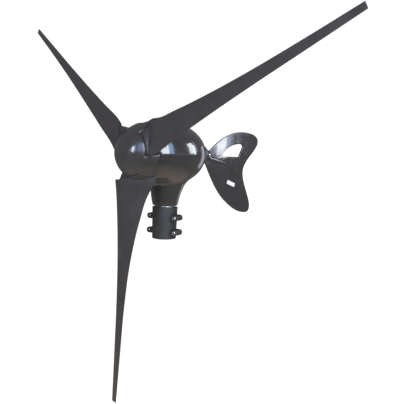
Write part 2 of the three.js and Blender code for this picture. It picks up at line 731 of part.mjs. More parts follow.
// A solid with the aerofoil's section that passes through the stations.
function loft(stations, sections) {
  const leadCurve = stationCurve(stations, (s) => s.lead);
  const trailCurve = stationCurve(stations, (s) => s.trail);
  const thickCurve = stationCurve(stations, (s) => [s.thick, 0, 0]);
  const count = AEROFOIL.length;
  const positions = [];
  for (let i = 0; i <= sections; i++) {
    const t = i / sections;
    const lead = leadCurve.getPoint(t);
    const trail = trailCurve.getPoint(t);
    const thickness = thickCurve.getPoint(t).x;
    const chord = new THREE.Vector2(trail.y - lead.y, trail.z - lead.z);
    const normal = new THREE.Vector2(chord.y, -chord.x).normalize();
    for (const [along, over] of AEROFOIL) {
      const u = lead.y + chord.x * along + normal.x * over * thickness;
      const w = lead.z + chord.y * along + normal.y * over * thickness;
      positions.push(THREE.MathUtils.lerp(lead.x, trail.x, along), w, -u);
    }
  }
  const index = [];
  for (let i = 0; i < sections; i++) {
    for (let k = 0; k < count; k++) {
      const a = i * count + k;
      const b = i * count + ((k + 1) % count);
      index.push(a, a + count, b, b, a + count, b + count);
    }
  }
  const last = sections * count;
  for (let k = 1; k < count / 2; k++) {
    const near = [k - 1, k, count - 1 - k, count - k];
    index.push(near[0], near[1], near[3], near[1], near[2], near[3]);
    index.push(last + near[0], last + near[3], last + near[1], last + near[1], last + near[3], last + near[2]);
  }
  const geometry = new THREE.BufferGeometry();
  geometry.setAttribute("position", new THREE.Float32BufferAttribute(positions, 3));
  geometry.setIndex(index);
  return geometry;
}

// The part of a blade's root that fills its notch in the cone, flush with the cone's skin.
function bladeCuff() {
  const filling = turnedY(coneOutline(CUFF.sunk, CONE.rimY, 9), FINE);
  const core = rodY(HEAD_PLATE.radius + 1, -150, -80, FINE);
  const hollowed = solid(filling).subtract(solid(core));
  return geometryOf(hollowed.intersect(solid(notchPrism(CUFF.inset))));
}

// The fairing stays clear of the round plates and, outside its notch, of the nose cone.
function rootFairing() {
  const whole = solid(loft(FAIRING_STATIONS, 3).translate(0, ROTOR_Y, 0));
  const cone = solid(turnedY(coneOutline(-GAP, CONE.rimY + GAP, 9), FINE));
  const plates = solid(rodY(HEAD_PLATE.radius + 1, -150, -60, FINE));
  const clear = whole.subtract(plates).subtract(cone.subtract(solid(notchPrism(CUFF.inset))));
  const pieces = clear.decompose();
  pieces.sort((a, b) => b.volume() - a.volume());
  return geometryOf(pieces[0]);
}

function addBlades() {
  const vane = loft(BLADE_STATIONS, 16).translate(0, ROTOR_Y, 0);
  const pad = box(
    [ROOT_PAD.from, ROTOR_Y - ROOT_PAD.halfThickness, -ROOT_PAD.halfWidth],
    [ROOT_PAD.to, ROTOR_Y + ROOT_PAD.halfThickness, ROOT_PAD.halfWidth],
  );
  const holes = BLADE_BOLT_PLACES.map((r) => rodY(BLADE_BOLT.radius + GAP, -130, -80).translate(r, 0, 0));
  const blade = cut(join(vane, pad, bladeCuff(), rootFairing()), ...holes);
  for (const [i, angle] of BLADE_ANGLES.entries()) {
    add(part, `blade_${i + 1}`, toBladeAngle(blade.clone(), angle), BLADE_NYLON);
  }
}

// ---------------------------------------------------------------- nose cone

const coneRadius = (y, shrink = 0) => {
  const ratio = Math.abs(y - CONE.centreY) / (CONE.halfLength - shrink);
  return (CONE.radius - shrink) * Math.pow(Math.max(0, 1 - Math.pow(ratio, CONE.power)), 1 / CONE.power);
};

// Half outline of the cone from its tip to a rim, with points closer together near the tip.
function coneOutline(shrink, rimY, steps) {
  const tipY = CONE.centreY - CONE.halfLength + shrink;
  const points = [[0, tipY]];
  for (let i = 1; i <= steps; i++) {
    const y = THREE.MathUtils.lerp(tipY, rimY, Math.pow(i / steps, 1.8));
    points.push([coneRadius(y, shrink), y]);
  }
  points.push([0, rimY]);
  return points;
}

// Turns a flat drawing so that its x runs against the turning direction, its y along the
// shaft, and its thickness inwards along the blade.
const BLADE_SIDE_VIEW = new THREE.Matrix4().makeBasis(
  new THREE.Vector3(0, 0, 1),
  new THREE.Vector3(0, 1, 0),
  new THREE.Vector3(-1, 0, 0),
);

// What a blade's notch takes out of the cone, for a blade that points along +X. The inset
// moves its sides and its front inwards.
function notchPrism(inset) {
  const opening = new THREE.Shape();
  const rear = CONE.rimY + 5;
  opening.moveTo(-NOTCH.leading + inset, NOTCH.frontY + inset);
  opening.lineTo(-NOTCH.trailingFront - inset, NOTCH.frontY + inset);
  opening.lineTo(-NOTCH.trailingRear - inset, CONE.rimY);
  opening.lineTo(-NOTCH.trailingRear - inset, rear);
  opening.lineTo(-NOTCH.leading + inset, rear);
  opening.closePath();
  const prism = new THREE.ExtrudeGeometry(opening, { depth: 60, bevelEnabled: false });
  return prism.applyMatrix4(BLADE_SIDE_VIEW).translate(85, 0, 0);
}

function noseCone() {
  const outer = solid(turnedShaft(coneOutline(0, CONE.rimY, 9), FINE));
  const inner = solid(turnedShaft(coneOutline(CONE.wall, CONE.rimY + 1, 6), MEDIUM));
  const bossRear = ROTOR_Y + ROOT_PAD.halfThickness;
  let cone = outer.subtract(inner);
  for (const angle of BLADE_ANGLES) {
    const boss = rodY(CONE_BOSS.radius, -130, bossRear).translate(CONE_BOSS.circle, 0, 0);
    cone = cone.add(solid(toBladeAngle(boss, angle + Math.PI / 3)).intersect(outer));
  }
  for (const angle of BLADE_ANGLES) {
    cone = cone.subtract(solid(toBladeAngle(notchPrism(0), angle)));
    const screwHole = rodY(CONE_BOSS.screwRadius + GAP, -106, bossRear + 5).translate(CONE_BOSS.circle, 0, 0);
    cone = cone.subtract(solid(toBladeAngle(screwHole, angle + Math.PI / 3)));
  }
  return geometryOf(cone);
}

// ---------------------------------------------------------------- tail

// The vane is drawn in the plane x = 0: first value along the shaft, second above it.
function vaneOutline() {
  const outline = new THREE.Shape();
  outline.moveTo(TAIL.slotY + 1, 9);
  outline.lineTo(150, 9);
  outline.bezierCurveTo(189, 42, 235, 67, 289, 68);
  outline.bezierCurveTo(316, 68, 363, 65, 360.5, 41);
  outline.bezierCurveTo(357, 15, 295.5, -12, 294, -45);
  outline.bezierCurveTo(292, -74, 318, -103, 328, -137);
  outline.bezierCurveTo(331, -150, 327, -162.5, 310, -162.5);
  outline.bezierCurveTo(277, -162, 247, -144, 220, -125);
  outline.bezierCurveTo(185, -100, 162, -63, 140, -27);
  outline.lineTo(131, -14);
  outline.lineTo(TAIL.slotY + 1, -14);
  outline.closePath();
  return outline;
}

// Opening through the upper lobe.
function windowOutline() {
  const outline = new THREE.Shape();
  outline.moveTo(204.5, -3);
  outline.bezierCurveTo(213, 22, 249, 30.5, 272, 33);
  outline.bezierCurveTo(279, 33.3, 291, 34, 291, 26.5);
  outline.bezierCurveTo(291, 20.5, 284, 14, 275, -3.3);
  outline.closePath();
  return outline;
}

// Raised spine that runs from the root down into the lower lobe, thinning to a point.
function spineOutline() {
  const outline = new THREE.Shape();
  const rootY = TAIL.tipY + 1;
  outline.moveTo(rootY, -1);
  outline.bezierCurveTo(178, -10, 243, -10, 285, -60);
  outline.bezierCurveTo(244, -27, 182, -27, rootY, -14);
  outline.closePath();
  return outline;
}

// Stands a drawing up in the plane x = 0, with the given half thickness on each side.
function uprightPlate(outline, halfThickness, curveSegments) {
  const settings = { depth: 2 * halfThickness, bevelEnabled: false, curveSegments };
  const plate = new THREE.ExtrudeGeometry(outline, settings);
  plate.translate(0, 0, -halfThickness);
  plate.applyMatrix4(new THREE.Matrix4().makeBasis(
    new THREE.Vector3(0, 1, 0),
    new THREE.Vector3(0, 0, 1),
    new THREE.Vector3(1, 0, 0),
  ));
  return plate.translate(0, 0, SHAFT_Z);
}

function rodX(radius, halfLength, y, z, segments = SCREW) {
  const rod = new THREE.CylinderGeometry(radius, radius, 2 * halfLength, segments);
  return rod.rotateZ(Math.PI / 2).translate(0, y, z);
}

function addTail() {
  const { halfThickness, flangeY, tipY, tipRadius, slotY } = TAIL;
  const padFace = EGG.rearY + GAP;
  const socketBody = turnedShaft([
    [0, 98],
    [TAIL_STUD_RADIUS, 98],
    [TAIL_STUD_RADIUS, padFace],
    [EGG.rearRadius, padFace],
    [EGG.rearRadius, flangeY],
    [EGG.rearRadius - 2, flangeY + 1],
    [20, 128],
    [15.5, 137],
    [12.5, 145],
    [tipRadius, tipY],
    [0, tipY],
  ], MEDIUM);
  const slot = box([-halfThickness - GAP, slotY, 150], [halfThickness + GAP, tipY + 10, 260]);
  const screwSize = { radius: 2, headRadius: 3.5, headLength: 3, hexRadius: 1.8, hexDepth: 1.6 };
  const screwY = [129, 138];
  const screwZ = SHAFT_Z - 1;
  const seatX = 11.5;
  const screwHoles = screwY.map((y) => rodX(screwSize.radius + GAP, 40, y, screwZ));
  const headSeat = (y) => rodX(screwSize.headRadius + GAP, 20, y, screwZ).translate(20 + seatX, 0, 0);
  const headSeats = screwY.map(headSeat);
  add(part, "tail_socket", cut(socketBody, slot, ...screwHoles, ...headSeats), BLACK_GLOSS);

  const nutBody = rodY(12, 98.5, 103.7, 6).translate(0, 0, SHAFT_Z);
  const nutBore = rodY(TAIL_STUD_RADIUS + GAP, 90, 110, COARSE).translate(0, 0, SHAFT_Z);
  add(part, "tail_socket_nut", cut(nutBody, nutBore), STEEL);

  const vane = join(uprightPlate(vaneOutline(), halfThickness, 7), uprightPlate(spineOutline(), 5, 7));
  const opening = uprightPlate(windowOutline(), 20, 7);
  add(part, "tail_vane", cut(vane, opening, ...screwHoles), BLACK_GLOSS);

  const screw = socketScrew(screwSize, 22).rotateZ(Math.PI / 2);
  for (const [i, y] of screwY.entries()) {
    add(part, `tail_screw_${i + 1}`, screw.clone().translate(seatX + GAP, y, screwZ), STEEL);
  }

  for (const [name, side] of [["right", 1], ["left", -1]]) {
    const label = box([-LABEL.thickness / 2, -LABEL.halfLength, -LABEL.halfHeight],
      [LABEL.thickness / 2, LABEL.halfLength, LABEL.halfHeight]);
    const x = side * (halfThickness + GAP + LABEL.thickness / 2);
    label.rotateX(-THREE.MathUtils.degToRad(LABEL.tiltDegrees)).translate(x, LABEL.y, SHAFT_Z - LABEL.drop);
    add(part, `tail_label_${name}`, label, LABEL_WHITE);
  }
}

// ---------------------------------------------------------------- assembly

addMastClamp();
addSpindle();
addNacelle();
addBrushes();
addAlternator();
addRotorDrive();
addRotorHead();
addBlades();
add(part, "nose_cone", noseCone(), BLACK_SATIN);
addTail();

export default part;
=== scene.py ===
"""Looks of a small wind turbine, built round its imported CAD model.

Shapes are worked out in millimetres in the CAD frame (+Z up, nose towards -Y, origin on the
yaw axis at the clamp's bottom face) and turned into metres when a mesh is made.
"""

import itertools
import math

import bmesh
import bpy
import numpy as np
from mathutils import Matrix, Vector

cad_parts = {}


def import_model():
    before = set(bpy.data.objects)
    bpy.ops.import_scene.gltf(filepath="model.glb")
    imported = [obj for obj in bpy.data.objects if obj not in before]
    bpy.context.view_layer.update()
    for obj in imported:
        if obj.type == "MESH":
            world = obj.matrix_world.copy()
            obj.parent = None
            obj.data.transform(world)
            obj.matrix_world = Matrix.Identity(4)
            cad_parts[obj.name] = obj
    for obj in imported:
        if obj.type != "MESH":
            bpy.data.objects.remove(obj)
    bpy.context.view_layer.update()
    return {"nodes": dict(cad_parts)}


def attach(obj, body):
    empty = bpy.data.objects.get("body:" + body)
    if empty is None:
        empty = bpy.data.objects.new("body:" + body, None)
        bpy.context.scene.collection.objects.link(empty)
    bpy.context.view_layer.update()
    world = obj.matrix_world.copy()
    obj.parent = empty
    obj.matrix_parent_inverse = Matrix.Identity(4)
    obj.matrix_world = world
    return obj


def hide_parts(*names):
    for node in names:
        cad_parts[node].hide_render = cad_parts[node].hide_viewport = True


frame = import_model()
scene = bpy.context.scene

# ---- driving dimensions (mm)

MM = 0.001
SHAFT_Z = 205.0
ROTOR_Y = -98.0
BLADE_ANGLES = [math.radians(a) for a in (-95.8, 24.2, 144.2)]

EGG_HALF_LENGTH = 112.0
EGG_RADIUS = 78.0
EGG_FRONT_Y = -75.0
EGG_RUN_OUT_Y = 98.0
EGG_REAR_Y = 116.0
EGG_REAR_RADIUS = 26.0
SLEEVE_RADIUS = 52.3

NECK_BOTTOM = 80.3
NECK_CHAMFER = 1.0
NECK_RADIUS = 30.6
NECK_FLARE = 9.0
NECK_FLARE_LENGTH = 32.0
NECK_BORE = 23.5
NECK_SWEEP_FROM = 97.0
NECK_TOP = 138.0
NECK_SWEEP = 0.6
NECK_FILLET = 7.0

CONE_CENTRE_Y = -48.3
CONE_HALF_LENGTH = 96.5
CONE_RADIUS = 78.3
CONE_POWER = 1.79
CONE_RIM_Y = -85.0
NOTCH_FRONT_Y = -111.5
NOTCH_LEADING = 28.0
NOTCH_TRAILING = (31.0, 47.0)
LIP_RADIUS = 7.0
LIP_REACH = 5.6
CUFF_INSET = 0.4
CUFF_SUNK = 0.8
CUFF_CORE = 51.0

CLAMP_BOTTOM_RADIUS = 29.0
CLAMP_TOP_RADIUS = 30.8
CLAMP_BORE = 24.3
CLAMP_HEIGHT = 76.0
CLAMP_SPLIT = 1.0
CLAMP_TURN = math.radians(10)
LUG_REACH = 39.0
LUG_RADIUS = 7.0
LUG_FACE = 12.0
LUG_HEIGHTS = (17.0, 52.0)

VANE_HALF = 2.5
SPINE_HALF = 5.0
SOCKET_TIP_Y = 150.0
TAIL_SCREWS_Y = (129.0, 138.0)
LABEL_HALF_LENGTH = 17.0
LABEL_HALF_HEIGHT = 5.5
LABEL_TILT = math.radians(-18)
LABEL_Y = 242.0
LABEL_DROP = 78.0

BLADE_TIP = 600.0
BLADE_TIP_RADIUS = 1.2
ROOT_PAD_LOW = (16, ROTOR_Y - 5, -23)
ROOT_PAD_HIGH = (57, ROTOR_Y + 5, 23)

FLOOR_Z = -420.0
FLOOR_RADIUS = 1300.0
FLOOR_THICKNESS = 4.0
FAR = 2000
FARTHER = 2500
SIDE_WINDOW_START = np.array([417.0, 724.0])
SIDE_WINDOW_ALONG = np.array([0.907, -0.421])

# Handle length of a Bezier quarter circle, as a share of its radius.
ROUND = 0.5523

# ---- light colours and camera

WHITE = (0.90, 0.96, 1.0)
SKY = (0.38, 0.58, 1.0)
DEEP_SKY = (0.36, 0.50, 1.0)
PALE = (0.72, 0.82, 1.0)
LAVENDER = (0.86, 0.87, 1.0)
# What the object mirrors of the floor, at distances in metres from the floor's middle.
FLOOR_GLOW = [(0.5, (0.62, 0.50, 0.36)), (1.25, (0.12, 0.11, 0.11))]
# What it mirrors of the room, from straight below to straight above.
ROOM_GLOW = [
    (0.0, (0.20, 0.19, 0.18)),
    (0.48, (0.10, 0.10, 0.11)),
    (0.52, (0.16, 0.17, 0.19)),
    (1.0, (0.20, 0.20, 0.23)),
]

CAMERA_LENS = 44.42
CAMERA_SENSOR = 36
CAMERA_SHIFT = (-0.0152, -0.124)
CAMERA_METRES = (0.9015, -0.8230, 0.2108)
CAMERA_AZIMUTH = math.radians(42.88)
CAMERA_PITCH = math.radians(0.09)
CAMERA_ROLL = math.radians(1.93)

# ---- mesh helpers


def add_object(name, data):
    obj = bpy.data.objects.new(name, data)
    scene.collection.objects.link(obj)
    return obj


def new_object(name, points, faces):
    """A mesh object from points in millimetres."""
    mesh = bpy.data.meshes.new(name)
    mesh.from_pydata([tuple(p) for p in np.asarray(points, float) * MM], [], faces)
    return add_object(name, mesh)


def bake(obj):
    """Applies every modifier, or turns a curve into a mesh."""
    graph = bpy.context.evaluated_depsgraph_get()
    graph.update()
    mesh = bpy.data.meshes.new_from_object(obj.evaluated_get(graph))
    if obj.type == "MESH":
        obj.modifiers.clear()
        obj.data = mesh
        return obj
    name = obj.name
    bpy.data.objects.remove(obj)
    return add_object(name, mesh)


def tidy_normals(obj, crease=32):
    """Faces out, smooth shading, and hard edges where the surface turns sharply."""
    work = bmesh.new()
    work.from_mesh(obj.data)
    bmesh.ops.remove_doubles(work, verts=work.verts, dist=1e-6)
    bmesh.ops.recalc_face_normals(work, faces=work.faces)
    work.to_mesh(obj.data)
    work.free()
    obj.data.polygons.foreach_set("use_smooth", [True] * len(obj.data.polygons))
    obj.data.set_sharp_from_angle(angle=math.radians(crease))
    return obj


def round_edges(obj, width):
    """Bevels the edges that turn sharply."""
    bevel = obj.modifiers.new("round", "BEVEL")
    bevel.width = width * MM
    bevel.segments = 3
    bevel.limit_method = "ANGLE"
    bevel.angle_limit = math.radians(35)
    bevel.use_clamp_overlap = False
    return bake(obj)


def cut(obj, *tools):
    """Takes the tools away from the object and removes them."""
    for tool in tools:
        work = obj.modifiers.new("cut", "BOOLEAN")
        work.operation = "DIFFERENCE"
        work.solver = "EXACT"
        work.object = tool
    bake(obj)
    for tool in tools:
        bpy.data.objects.remove(tool)
    return obj


def merge(name, *pieces):
    """One object from several, with their shapes left as they are."""
    work = bmesh.new()
    for piece in pieces:
        mesh = piece.data.copy()
        mesh.transform(piece.matrix_basis)
        work.from_mesh(mesh)
        bpy.data.meshes.remove(mesh)
        bpy.data.objects.remove(piece)
    mesh = bpy.data.meshes.new(name)
    work.to_mesh(mesh)
    work.free()
    return add_object(name, mesh)


def place(obj, matrix):
    obj.data.transform(matrix)
    return obj


def shift(x=0.0, y=0.0, z=0.0):
    return Matrix.Translation(Vector((x, y, z)) * MM)


def bridge(rings, closed_ring=True):
    """Quads between rings of equal length that follow each other in one list of points."""
    faces = []
    count = len(rings[0])
    for near, far in zip(rings, rings[1:]):
        for k in range(count if closed_ring else count - 1):
            after = (k + 1) % count
            faces.append((near[k], near[after], far[after], far[k]))
    return faces


def add_ring(points, more):
    """Adds points to a list and returns their numbers in it."""
    start = len(points)
    points.extend(more)
    return list(range(start, len(points)))


def bezier(p0, p1, p2, p3, t):
    p0, p1, p2, p3 = (np.array(p, float) for p in (p0, p1, p2, p3))
    return (1 - t) ** 3 * p0 + 3 * t * (1 - t) ** 2 * p1 + 3 * t * t * (1 - t) * p2 + t ** 3 * p3


def turned(name, outline, segments=96, axis="Z", ring_radius=None):
    """Turns an outline of [radius, height] about an axis. A radius of 0 makes a pole.

    ring_radius(row, radius, angle) may change a radius on the way round, for a hexagon or
    a knurl.
    """
    points = []
    rings = []
    for row, (radius, height) in enumerate(outline):
        if radius == 0:
            rings.append([len(points)] * segments)
            points.append((0, 0, height))
            continue
        ring = []
        for k in range(segments):
            angle = 2 * math.pi * k / segments
            r = ring_radius(row, radius, angle) if ring_radius else radius
            ring.append((r * math.cos(angle), r * math.sin(angle), height))
        rings.append(add_ring(points, ring))
    if outline[0][0] != 0:
        rings.append(rings[0])
    faces = []
    for face in bridge(rings):
        corners = tuple(dict.fromkeys(face))
        if len(corners) > 2:
            faces.append(corners)
    if axis == "Y":
        points = [(x, h, -z) for x, z, h in points]
    return new_object(name, points, faces)


def smooth_corners(outline, radius, steps=4):
    """Replaces each inner corner of an open [radius, height] outline by a small arc."""
    result = [outline[0]]
    for before, corner, after in zip(outline, outline[1:], outline[2:]):
        b, c, a = (np.array(p, float) for p in (before, corner, after))
        into, out = c - b, a - c
        reach = min(radius, np.linalg.norm(into) / 2.2, np.linalg.norm(out) / 2.2)
        start = c - into / np.linalg.norm(into) * reach
        end = c + out / np.linalg.norm(out) * reach
        for i in range(steps + 1):
            t = i / steps
            result.append(tuple((1 - t) ** 2 * start + 2 * t * (1 - t) * c + t * t * end))
    result.append(outline[-1])
    return result


def plate(name, loops, half_thickness, edge, resolution=24):
    """A flat plate with rounded edges, drawn in its own XY plane by closed Bezier loops.

    A loop is a list of (point, handle in, handle out); a handle of None gives a straight side.
    """
    curve = bpy.data.curves.new(name, "CURVE")
    curve.dimensions = "2D"
    curve.fill_mode = "BOTH"
    curve.resolution_u = resolution
    curve.extrude = (half_thickness - edge) * MM
    curve.bevel_depth = edge * MM
    curve.bevel_resolution = 2
    curve.offset = -edge * MM
    for loop in loops:
        spline = curve.splines.new("BEZIER")
        spline.use_cyclic_u = True
        spline.bezier_points.add(len(loop) - 1)
        for knot, (point, before, after) in zip(spline.bezier_points, loop):
            knot.co = Vector((*point, 0)) * MM
            knot.handle_left_type = "VECTOR" if before is None else "FREE"
            knot.handle_right_type = "VECTOR" if after is None else "FREE"
            if before is not None:
                knot.handle_left = Vector((*before, 0)) * MM
            if after is not None:
                knot.handle_right = Vector((*after, 0)) * MM
    return bake(add_object(name, curve))


def path_loop(start, *steps):
    """A closed loop written as in a drawing: a step is a point, or two handles and a point."""
    knots = [[start, None, None]]
    for step in steps:
        if len(step) == 2:
            knots.append([step, None, None])
        else:
            knots[-1][2] = step[0:2]
            knots.append([step[4:6], step[2:4], None])
    if knots[-1][0] == knots[0][0]:
        knots[0][1] = knots[-1][1]
        knots.pop()
    return [tuple(k) for k in knots]


def circle_loop(x, y, radius):
    k = radius * ROUND
    return [
        ((x + radius, y), (x + radius, y - k), (x + radius, y + k)),
        ((x, y + radius), (x + k, y + radius), (x - k, y + radius)),
        ((x - radius, y), (x - radius, y + k), (x - radius, y - k)),
        ((x, y - radius), (x - k, y - radius), (x + k, y - radius)),
    ]


def show(obj, body, material, slot, *nodes, crease=32, flat_faces=False):
    """Gives a finished piece its shading, material and body, and hides the CAD nodes it stands for."""
    tidy_normals(obj, crease)
    if flat_faces:
        weighting = obj.modifiers.new("weighting", "WEIGHTED_NORMAL")
        weighting.keep_sharp = True
        weighting.weight = 60
        bake(obj)
    obj.data.materials.clear()
    obj.data.materials.append(material)
    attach(obj, body)
    if nodes:
        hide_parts(*nodes)
    return obj


# ---- materials


def preset(node, **values):
    """Sets a node's sockets by name, with an underscore for each space."""
    for name, value in values.items():
        node.inputs[name.replace("_", " ")].default_value = value
    return node


class Surface:
    """A Principled material built from small procedural steps. Sizes are in metres."""

    def __init__(self, name, roughness, metallic=0.0, ior=1.5, coat=0.0, coat_roughness=0.03):
        self.material = bpy.data.materials.new(name)
        self.material.use_nodes = True
        self.tree = self.material.node_tree
        self.shader = self.tree.nodes["Principled BSDF"]
        preset(self.shader, Roughness=roughness, Metallic=metallic, IOR=ior)
        preset(self.shader, Coat_Weight=coat, Coat_Roughness=coat_roughness)
        self.where = self.tree.nodes.new("ShaderNodeTexCoord").outputs["Object"]
        self.relief = None

    def node(self, kind, **values):
        made = self.tree.nodes.new(kind)
        for key, value in values.items():
            setattr(made, key, value)
        return made

    def link(self, a, b):
        self.tree.links.new(a, b)

    def stretched(self, stretch):
        mapping = preset(self.node("ShaderNodeMapping"), Scale=stretch)
        self.link(self.where, mapping.inputs["Vector"])
        return mapping.outputs["Vector"]

    def noise(self, size, detail=3.0, stretch=(1, 1, 1), distortion=0.0):
        noise = self.node("ShaderNodeTexNoise")
        preset(noise, Scale=1.0 / size, Detail=detail, Distortion=distortion)
        self.link(self.stretched(stretch), noise.inputs["Vector"])
        return noise.outputs["Fac"]

    def bands(self, size, direction):
        wave = self.node("ShaderNodeTexWave", bands_direction=direction, wave_profile="SIN")
        preset(wave, Scale=0.314 / size)
        self.link(self.where, wave.inputs["Vector"])
        return wave.outputs["Fac"]

    def levels(self, value, low, high, to_low=0.0, to_high=1.0):
        spread = self.node("ShaderNodeMapRange")
        preset(spread, From_Min=low, From_Max=high, To_Min=to_low, To_Max=to_high)
        self.link(value, spread.inputs["Value"])
        return spread.outputs["Result"]

    def mix(self, amount, first, second):
        mixer = self.node("ShaderNodeMix", data_type="RGBA")
        for socket, colour in ((mixer.inputs[6], first), (mixer.inputs[7], second)):
            if hasattr(colour, "is_output"):
                self.link(colour, socket)
            else:
                socket.default_value = (*colour, 1)
        self.link(amount, mixer.inputs[0])
        return mixer.outputs[2]

    def colour(self, value):
        self.link(value, self.shader.inputs["Base Color"])
        return self

    def roughness(self, value, low, high):
        self.link(self.levels(value, 0.35, 0.65, low, high), self.shader.inputs["Roughness"])
        return self

    def bump(self, value, depth):
        """Adds a relief of that depth; calls add up."""
        bump = preset(self.node("ShaderNodeBump"), Strength=1.0, Distance=depth)
        self.link(value, bump.inputs["Height"])
        if self.relief:
            self.link(self.relief, bump.inputs["Normal"])
        self.relief = bump.outputs["Normal"]
        self.link(self.relief, self.shader.inputs["Normal"])
        return self


def gloss_paint(name, base, tint, relief):
    """Thick gloss over black: faint orange peel, haze that comes and goes, tiny dust specks."""
    s = Surface(name, roughness=0.14, ior=1.5, coat=0.6, coat_roughness=0.02)
    s.colour(s.mix(s.levels(s.noise(0.045), 0.35, 0.7), base, tint))
    s.roughness(s.noise(0.02, 4), 0.09, 0.2)
    s.bump(s.noise(0.0035, 1), relief)
    s.bump(s.levels(s.noise(0.0011, 0), 0.74, 0.8), relief * 3)
    return s.material


def satin_plastic(name, base, tint, stain, rough, grain):
    """Moulded satin plastic: fine spark texture, cloudy flow marks and soft handling marks."""
    s = Surface(name, roughness=rough, ior=1.46)
    clouds = s.mix(s.levels(s.noise(0.05, 5, distortion=0.6), 0.4, 0.68), base, tint)
    marks = s.levels(s.noise(0.012, 6, (1, 1, 0.6), 0.8), 0.62, 0.78, 0.0, 0.5)
    s.colour(s.mix(marks, clouds, stain))
    s.roughness(s.noise(0.03, 5), rough - 0.07, rough + 0.1)
    s.bump(s.noise(grain, 2), grain * 0.014)
    return s.material


def powder_coat(name, base, tint):
    """Satin powder coat on a casting: fine leathery grain over slight waviness."""
    s = Surface(name, roughness=0.55, ior=1.4)
    s.colour(s.mix(s.levels(s.noise(0.018, 4), 0.38, 0.66), base, tint))
    s.roughness(s.noise(0.008, 3), 0.48, 0.62)
    s.bump(s.noise(0.0009, 2), 0.00003)
    s.bump(s.noise(0.012, 1), 0.00006)
    return s.material


def metal(name, base, tint, rough, stretch=(1, 1, 1), grain=0.0012):
    """Machined metal: fine lines along one direction, a little staining."""
    s = Surface(name, roughness=rough, metallic=1.0)
    s.colour(s.mix(s.levels(s.noise(0.009, 5), 0.35, 0.7), base, tint))
    lines = s.noise(grain, 3, stretch)
    s.roughness(lines, max(0.05, rough - 0.08), rough + 0.12)
    s.bump(lines, 0.000006)
    return s.material


def banded_metal(name, base, groove, pitch, direction, rough=0.4):
    """Stacked sheets or wound wire: even bands with dark lines between them."""
    s = Surface(name, roughness=rough, metallic=1.0)
    bands = s.bands(pitch, direction)
    shade = s.mix(s.levels(bands, 0.05, 0.3), groove, base)
    s.colour(s.mix(s.levels(s.noise(0.01, 4), 0.45, 0.8, 0, 0.35), shade, groove))
    s.bump(bands, pitch * 0.15)
    return s.material


def dull(name, base, tint, rough, grain, depth):
    """Rubber, carbon, insulating plastic or a printed label: matt with a fine tooth."""
    s = Surface(name, roughness=rough)
    s.colour(s.mix(s.levels(s.noise(grain * 8, 5), 0.35, 0.65), base, tint))
    s.roughness(s.noise(grain * 3, 3), rough - 0.06, min(1.0, rough + 0.08))
    s.bump(s.noise(grain, 2), depth)
    return s.material


NACELLE_BLACK = gloss_paint(
    "nacelle gloss black", (0.041, 0.040, 0.042), (0.046, 0.044, 0.046), 0.0000035
)
SOCKET_BLACK = satin_plastic(
    "tail socket satin black", (0.036, 0.036, 0.044), (0.042, 0.041, 0.050),
    (0.05, 0.05, 0.06), 0.36, 0.0009,
)
VANE_BLACK = gloss_paint("vane gloss black", (0.041, 0.039, 0.042), (0.046, 0.043, 0.047), 0.0000012)
CONE_BLACK = satin_plastic(
    "cone semi-gloss black", (0.044, 0.043, 0.046), (0.049, 0.047, 0.051),
    (0.055, 0.054, 0.062), 0.24, 0.0009,
)
BLADE_CHARCOAL = satin_plastic(
    "blade charcoal", (0.043, 0.040, 0.043), (0.050, 0.045, 0.052), (0.066, 0.060, 0.078), 0.42, 0.0011
)
CLAMP_BLACK = powder_coat("clamp powder coat", (0.036, 0.035, 0.036), (0.042, 0.041, 0.043))
DARK_STEEL = metal("blackened steel", (0.060, 0.060, 0.063), (0.090, 0.088, 0.090), 0.38)
BRIGHT_STEEL = metal("bright steel", (0.72, 0.72, 0.73), (0.60, 0.60, 0.62), 0.2)
TURNED_STEEL = metal("turned steel", (0.58, 0.58, 0.60), (0.47, 0.46, 0.46), 0.3, (0.15, 1, 0.15))
BEARING_STEEL = metal("bearing steel", (0.75, 0.75, 0.77), (0.66, 0.66, 0.68), 0.14)
ALUMINIUM = metal("turned aluminium", (0.68, 0.69, 0.71), (0.58, 0.59, 0.60), 0.33, (0.2, 1, 0.2))
PLATED = metal("nickel plate", (0.60, 0.59, 0.57), (0.50, 0.49, 0.48), 0.24, (1, 0.2, 1), 0.004)
BRASS = metal("turned brass", (0.78, 0.58, 0.27), (0.62, 0.44, 0.20), 0.24, (0.2, 0.2, 1))
COPPER = banded_metal(
    "enamelled copper wire", (0.55, 0.20, 0.09), (0.10, 0.03, 0.015), 0.0016, "DIAGONAL", 0.3
)
LAMINATION = banded_metal("steel laminations", (0.30, 0.30, 0.31), (0.07, 0.07, 0.075), 0.0010, "Y")
INSULATOR = dull("insulating plastic", (0.17, 0.13, 0.09), (0.22, 0.17, 0.11), 0.5, 0.0012, 0.00003)
CARBON = dull("pressed carbon", (0.02, 0.02, 0.021), (0.04, 0.04, 0.042), 0.62, 0.0006, 0.00003)
RUBBER = dull("black rubber", (0.018, 0.018, 0.018), (0.03, 0.03, 0.03), 0.75, 0.0009, 0.00004)
LABEL = dull("plain white label", (0.86, 0.88, 0.89), (0.80, 0.82, 0.84), 0.4, 0.0008, 0.00001)

